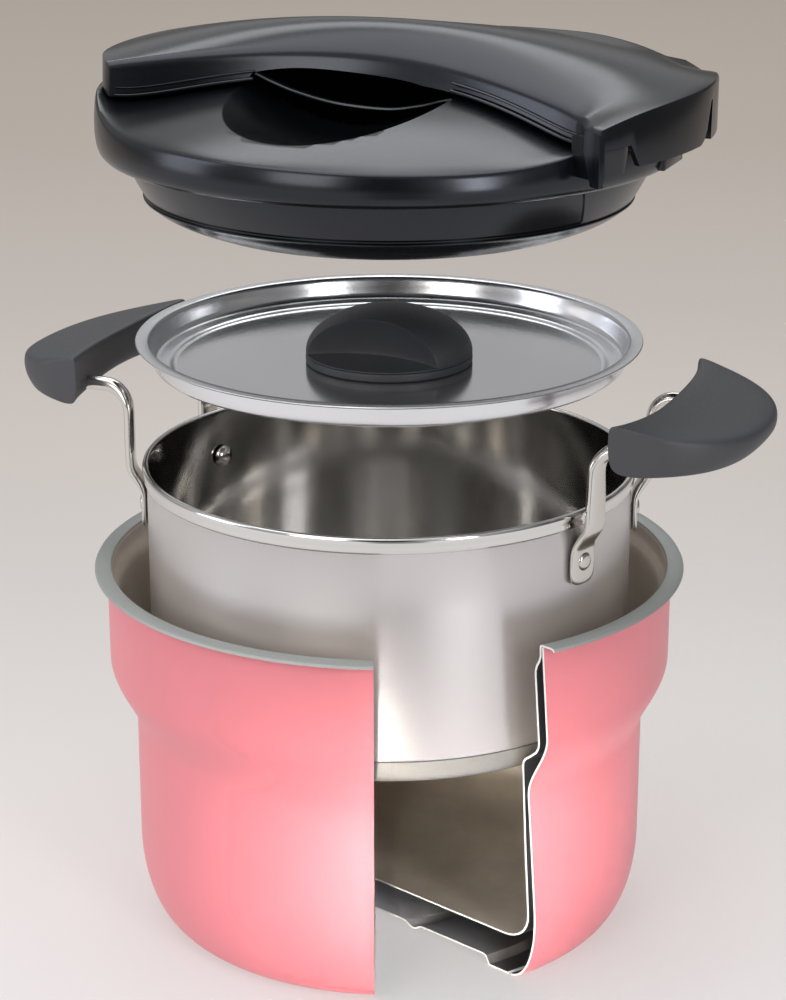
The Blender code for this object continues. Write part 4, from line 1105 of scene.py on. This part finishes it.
class OBJECT_OT_cooker_band(bpy.types.Operator):
    """Build the grip band across the outer lid, with its wing, its openings, lips and flanges"""
    bl_idname = "object.cooker_band"
    bl_label = "Grip Band"

    def execute(self, context):
        along, across = 72, 26
        roll = context.scene.cooker_sizes.band_edge
        shape = bmesh.new()
        made = bmesh.ops.create_grid(shape, x_segments=along, y_segments=across, size=1)
        for vert in made["verts"]:
            run = (vert.co.x + 1) / 2
            if run > 0.93:
                run = mix(0.93, 1, 1 - (1 - (run - 0.93) / 0.07) ** 2)
            share = math.copysign(1 - (1 - abs(vert.co.y)) ** 1.6, vert.co.y)
            spot = band_spot(run, share)
            height = band_top(spot.x, share)
            width = max(abs(band_spot(run, 1).y), MM)
            curl = mix(roll, 0.8 * MM, smooth((spot.x - 80 * MM) / (22 * MM)))
            down = max((abs(share) - 1) * width / curl + 1, 0)
            outer = max((run - 1) * 200 + 1, 0)
            height -= curl * (1 - math.sqrt(1 - down * down)) + MM * (1 - math.sqrt(1 - outer * outer))
            vert.co = (spot.x, spot.y, height)
        shape.normal_update()
        border = [edge for edge in shape.edges if edge.is_boundary]
        side = bmesh.ops.extrude_edge_only(shape, edges=border)["geom"]
        fresh = [item for item in side if isinstance(item, bmesh.types.BMVert)]
        for vert in fresh:
            vert.co.z = band_foot(Vector((vert.co.x, vert.co.y, 0)))
            if vert.co.xy.length < WING_START:
                vert.co.y += math.copysign(1.6 * MM, vert.co.y) * smooth((108 * MM - abs(vert.co.x)) / (12 * MM))
        bmesh.ops.recalc_face_normals(shape, faces=shape.faces)
        if max(shape.faces, key=lambda face: face.calc_center_median().z).normal.z < 0:
            bmesh.ops.reverse_faces(shape, faces=shape.faces)
        bmesh.ops.translate(shape, verts=shape.verts, vec=(0, 0, LID_Z))
        # The band's inside takes the dead black inside finish: painted shade.
        slots = ("plastic", "hollow", "plastic")
        band = stand("crowned_band", shape, slots, "outer_lid", ["grip_band"])
        walled(band, 2.4 * MM)
        for sign in (-1, 1):
            cut_by(band, cutter_from("eye", self.eye(sign), slots, 0))
            window = [(31.2, 2), (31.2, 20), (25.4, 20.5), (20.2, 2)]
            cut_by(band, cutter_from("window", self.opening(sign, window), slots, 0))
            self.skirt(sign)
            self.lip(sign)
            self.flange(sign, "left", -92, -43)
            self.flange(sign, "right", 37.5, 95)
        slot = [(-3, 2), (-3, 11.6), (-0.6, 13.6), (1.1, 17), (3.4, 27), (4.5, 27.4), (3.6, 2)]
        cut_by(band, cutter_from("slot", self.opening(1, slot), slots, 0))
        return {"FINISHED"}

    def opening(self, side, corners):
        """A hole through the wing's end wall, with its corners as angle and height."""
        shape = bmesh.new()
        skin(shape, [[lid_point(side * angle, radius, level) for angle, level in corners] for radius in (118, 135)])
        return shape

    def skirt(self, side):
        """The cover's upright side behind the opening in the wing's wall."""
        shape = bmesh.new()
        wall = [(108, 7), (114.1, 7), (114.3, 9), (114.6, 12), (115.2, 17), (115.6, 22), (115.4, 22.6), (108, 22.6)]
        rings = []
        for angle in range(-31, -18):
            end = max(abs(angle + 25) - 5, 0) * 0.8
            rings.append([lid_point(-side * angle, radius - (end if radius > 110 else 0), level)
                          for radius, level in wall])
        skin(shape, rings)
        label = "front" if side < 0 else "rear"
        stand("wing_skirt_" + label, shape, ("plastic",), "outer_lid")
        shape = bmesh.new()
        web = [(112, 9), (121, 9), (125, 9), (125, 24), (112, 24)]
        skin(shape, [[lid_point(-side * angle, radius, level) for radius, level in web]
                     for angle in (-32.3, -31.4)])
        stand("wing_web_" + label, shape, ("plastic",), "outer_lid")

    def flange(self, side, part, start, end):
        """The ledge and the ridge along the foot of the band's wall."""
        for name, lift, out, deep, thick in (("ledge", 0.9, 2.2, 3.2, 1.5), ("ridge", 3.6, 1.1, 2.2, 0.9)):
            rings = []
            for index in range(25):
                x = mix(start, end, index / 24) * MM
                half, after = band_half(x), band_half(x + MM)
                foot = band_foot(Vector((x, half, 0)))
                after_foot = band_foot(Vector((x + MM, after, 0)))
                run = Vector((MM, side * (after - half), after_foot - foot)).normalized()
                outwards = Vector((0, 0, 1)).cross(run).normalized()
                centre = Vector((x, side * (half + out * MM), LID_Z + foot + lift * MM))
                rings.append(bar_ring(centre, run, outwards, deep * MM, thick * MM, 2.8, 16))
            shape = bmesh.new()
            skin(shape, rings)
            label = "band_%s_%s_%s" % (name, part, "front" if side < 0 else "rear")
            stand(label, shape, ("plastic",), "outer_lid")

    def eye(self, side):
        """The opening's shape: an arch over the scoop, cut through the band's wall."""
        tops = curve_through([(-45, 0, 31), (-42, 0, 33.1), (-27, 0, 34.9), (-7, 0, 34.4), (19, 0, 32.4),
                              (35.5, 0, 28.6), (38, 0, 27)], 5)
        shape = bmesh.new()
        rings = []
        for top in tops:
            x, z = top.x * MM, top.z * MM
            rings.append([Vector((x, -side * y * MM, LID_Z + level)) for y, level in (
                (-16, z), (-16, 20 * MM), (-60, 20 * MM), (-60, z))])
        skin(shape, rings)
        return shape

    def lip(self, side):
        """The thin rolled edge below the opening, bowed out over the scoop."""
        line = curve_through([(-42.5, -31, 32.3), (-35, -32.8, 29.9), (-23.6, -35, 27.0), (-6.9, -37, 24.3),
                              (13.2, -35.9, 23.2), (25.4, -33.2, 24.7), (33, -30.8, 26.6), (37.5, -29.6, 27.6)], 8)
        points = [Vector((point.x, -side * point.y, point.z)) * MM + Vector((0, 0, LID_Z)) for point in line]
        rings = []
        for index, point in enumerate(points):
            run = (points[min(index + 1, len(points) - 1)] - points[max(index - 1, 0)]).normalized()
            inwards = Vector((0, side, 0))
            rings.append(bar_ring(point - inwards * 1.4 * MM, run, inwards, 4 * MM, 1.3 * MM, 2.6, 16))
        shape = bmesh.new()
        skin(shape, rings)
        label = "front" if side < 0 else "rear"
        stand("finger_lip_" + label, shape, ("plastic",), "outer_lid")


# ---------------------------------------------------------------- stage
class OBJECT_OT_cooker_stage(bpy.types.Operator):
    """Set up the pale floor, the soft studio light and the camera"""
    bl_idname = "object.cooker_stage"
    bl_label = "Stage"

    def execute(self, context):
        colours = context.scene.cooker_colours
        # Studio paper: matt, pale near the cooker and warm grey far behind it, evenly lit all over.
        made, tree, shader = finish("pale_studio_floor", tuple(colours.floor) + (1,), 0, 0.8)
        where = add_node(tree, "ShaderNodeTexCoord")
        depth, aside, ahead = (add_node(
            tree, "ShaderNodeVectorMath", {"operation": "DOT_PRODUCT", 1: way}, {0: where.outputs["Object"]},
        ).outputs["Value"] for way in ((-0.375, 0.927, 0), (0.899, 0.438, 0), (0.438, -0.899, 0)))
        share = add_node(tree, "ShaderNodeMapRange", {"From Min": -0.3, "From Max": 2.7}, {"Value": depth})
        shades = add_node(tree, "ShaderNodeValToRGB", {}, {"Fac": share.outputs[0]})
        marks = shades.color_ramp.elements
        marks[0].position, marks[0].color = 0.06, tuple(colours.floor) + (1,)
        marks[1].position, marks[1].color = 0.95, tuple(colours.far) + (1,)
        for place, colour in ((0.11, "#E7E3E1"), (0.16, "#DEDAD7"), (0.22, "#D3CECA"), (0.287, "#CDC6C1"),
                              (0.433, "#C1B9B2"), (0.65, "#B9AFA6")):
            marks.new(place).color = linear(colour)
        # A grey cloth from half a metre in front, out of view: the steel and the plastic show it as a
        # dark upright band.
        off = add_node(tree, "ShaderNodeMath", {"operation": "ABSOLUTE"}, {0: aside})
        ratio = add_node(tree, "ShaderNodeMath", {"operation": "DIVIDE"}, {0: off.outputs[0], 1: ahead})
        beside = add_node(
            tree, "ShaderNodeMapRange", {"From Min": 0.14, "From Max": 0.27, "interpolation_type": "SMOOTHSTEP"},
            {"Value": ratio.outputs[0]},
        )
        near = add_node(tree, "ShaderNodeMapRange", {"From Min": 0.6, "From Max": 0.48}, {"Value": ahead})
        bare = add_node(tree, "ShaderNodeMath", {"operation": "MAXIMUM"}, {0: beside.outputs[0], 1: near.outputs[0]})
        paper = add_node(
            tree, "ShaderNodeMix", {"data_type": "RGBA", 6: linear("#8F8B88")},
            {0: bare.outputs[0], 7: shades.outputs["Color"]},
        ).outputs[2]
        dull = add_node(tree, "ShaderNodeMix", {"data_type": "RGBA", 0: 0.57, 7: (0, 0, 0, 1)}, {6: paper})
        tree.links.new(dull.outputs[2], shader.inputs["Base Color"])
        tree.links.new(paper, shader.inputs["Emission Color"])
        shader.inputs["Emission Strength"].default_value = 0.52
        shape = bmesh.new()
        bmesh.ops.create_circle(shape, cap_ends=True, segments=96, radius=9)
        mesh = bpy.data.meshes.new("studio_floor")
        shape.to_mesh(mesh)
        shape.free()
        mesh.materials.append(made)
        floor = bpy.data.objects.new("studio_floor", mesh)
        context.scene.collection.objects.link(floor)
        self.sky(context)
        self.lamps(context)
        self.camera(context)
        return {"FINISHED"}

    def sky(self, context):
        """A dim room with a bright ceiling, which the polished steel mirrors."""
        world = bpy.data.worlds.new("studio_room")
        context.scene.world = world
        world.use_nodes = True
        tree = world.node_tree
        where = add_node(tree, "ShaderNodeTexCoord")
        parts = add_node(tree, "ShaderNodeSeparateXYZ", {}, {"Vector": where.outputs["Generated"]})
        sky = add_node(tree, "ShaderNodeValToRGB", {}, {"Fac": parts.outputs["Z"]})
        marks = sky.color_ramp.elements
        marks[0].position, marks[0].color = 0.0, linear("#8E8A86")
        marks[1].position, marks[1].color = 0.85, linear("#F4F4F6")
        for place, colour in ((0.12, "#B4B1AF"), (0.34, "#C2C3C6"), (0.55, "#C9C9CB")):
            marks.new(place).color = linear(colour)
        facing, aside = (add_node(
            tree, "ShaderNodeVectorMath", {"operation": "DOT_PRODUCT", 1: way}, {0: where.outputs["Generated"]},
        ).outputs["Value"] for way in ((-0.55, -0.83, 0), (0.94, 0.342, 0)))
        off = add_node(tree, "ShaderNodeMath", {"operation": "ABSOLUTE"}, {0: aside})
        strength, gap, high, behind = (add_node(
            tree, "ShaderNodeMapRange",
            {"From Min": start, "From Max": end, "To Min": low, "To Max": top, "interpolation_type": kind},
            {"Value": source},
        ).outputs[0] for source, start, end, low, top, kind in (
            (facing, -0.9, 0.5, 0.34, 0.84, "SMOOTHSTEP"), (off.outputs[0], 0.12, 0.3, 0.06, 1, "SMOOTHSTEP"),
            (parts.outputs["Z"], 0.45, 0.8, 0, 1, "LINEAR"), (parts.outputs["Y"], -0.1, 0.1, 0, 1, "LINEAR"),
        ))
        clear = add_node(tree, "ShaderNodeMath", {"operation": "MAXIMUM"}, {0: high, 1: behind})
        open_gap = add_node(tree, "ShaderNodeMath", {"operation": "MAXIMUM"}, {0: gap, 1: clear.outputs[0]})
        total = add_node(tree, "ShaderNodeMath", {"operation": "MULTIPLY"}, {0: strength, 1: open_gap.outputs[0]})
        back = tree.nodes["Background"]
        tree.links.new(sky.outputs["Color"], back.inputs["Color"])
        tree.links.new(total.outputs[0], back.inputs["Strength"])

    def lamps(self, context):
        aim = Vector((0, 0, 0.2))
        rows = (
            ("ceiling_softbox", (-0.2, 0.1, 2.1), aim, (2.0, 1.6), 18, "#FFFFFF", 180),
            ("front_softbox", (-0.4, -2.25, 1.1), aim, (1.0, 1.4), 17, "#FFFAF4", 180),
            ("right_strip", (1.68, -1.2, 0.75), aim, (0.4, 1.2), 14, "#FFFFFF", 180),
            ("left_softbox", (-1.8, -1.0, 0.9), aim, (0.8, 1.5), 11, "#F6F8FF", 180),
            ("rear_softbox", (-0.6, 1.8, 2.1), aim, (1.6, 0.7), 9, "#FFFFFF", 180),
            ("rear_card", (-0.9, 2.2, 1.15), aim, (1.6, 0.8), 1.2, "#FFFFFF", 180),
            ("low_fill", (0.4, -1.32, 0.1), Vector((0.045, 0, 0.055)), (0.12, 0.05), 0.1, "#FFF6EC", 8),
        )
        for name, place, aim, size, power, colour, cone in rows:
            lamp = bpy.data.lights.new(name, "AREA")
            lamp.shape = "RECTANGLE"
            lamp.size, lamp.size_y = size
            lamp.spread = math.radians(cone)
            lamp.energy = power
            lamp.color = linear(colour)[:3]
            light = bpy.data.objects.new(name, lamp)
            light.location = place
            light.rotation_euler = (aim - Vector(place)).to_track_quat("-Z", "Y").to_euler()
            context.scene.collection.objects.link(light)

    def camera(self, context):
        lens = bpy.data.cameras.new("viewpoint")
        lens.sensor_fit = "VERTICAL"
        lens.sensor_height = 36
        lens.lens = 93.24
        lens.shift_x = 0.0038
        lens.clip_start = 0.01
        lens.clip_end = 30
        view = bpy.data.objects.new("viewpoint", lens)
        view.location = (0.37461, -0.92718, 0.5178)
        view.rotation_euler = (math.radians(71.103), 0, math.radians(22))
        context.scene.collection.objects.link(view)
        context.scene.camera = view
        context.scene.view_settings.view_transform = "Standard"


# ---------------------------------------------------------------- add-on
class VIEW3D_PT_cooker(bpy.types.Panel):
    """Sizes, colours and build steps of the thermal cooker"""
    bl_idname = "VIEW3D_PT_cooker"
    bl_label = "Thermal Cooker"
    bl_space_type = "VIEW_3D"
    bl_region_type = "UI"
    bl_category = "Cooker"

    def draw(self, context):
        column = self.layout.column(align=True)
        for group in (context.scene.cooker_sizes, context.scene.cooker_colours):
            for name in group.__annotations__:
                column.prop(group, name)
        column.separator()
        for step in STEPS:
            column.operator(step.bl_idname)


STEPS = (
    OBJECT_OT_cooker_shell, OBJECT_OT_cooker_liner, OBJECT_OT_cooker_base, OBJECT_OT_cooker_pot,
    OBJECT_OT_cooker_legs, OBJECT_OT_cooker_grips, OBJECT_OT_cooker_pan, OBJECT_OT_cooker_knob,
    OBJECT_OT_cooker_cover, OBJECT_OT_cooker_plug, OBJECT_OT_cooker_band, OBJECT_OT_cooker_stage,
)
CLASSES = (CookerSizes, CookerColours) + STEPS + (VIEW3D_PT_cooker,)


def register():
    for made in CLASSES:
        bpy.utils.register_class(made)
    bpy.types.Scene.cooker_sizes = PointerProperty(type=CookerSizes)
    bpy.types.Scene.cooker_colours = PointerProperty(type=CookerColours)


def unregister():
    del bpy.types.Scene.cooker_sizes
    del bpy.types.Scene.cooker_colours
    for made in reversed(CLASSES):
        bpy.utils.unregister_class(made)


def main():
    """Build every piece and the stage."""
    register()
    bpy.ops.object.cooker_shell()
    bpy.ops.object.cooker_liner()
    bpy.ops.object.cooker_base()
    bpy.ops.object.cooker_pot()
    bpy.ops.object.cooker_legs()
    bpy.ops.object.cooker_grips()
    bpy.ops.object.cooker_pan()
    bpy.ops.object.cooker_knob()
    bpy.ops.object.cooker_cover()
    bpy.ops.object.cooker_plug()
    bpy.ops.object.cooker_band()
    bpy.ops.object.cooker_stage()


if __name__ == "__main__":
    main()
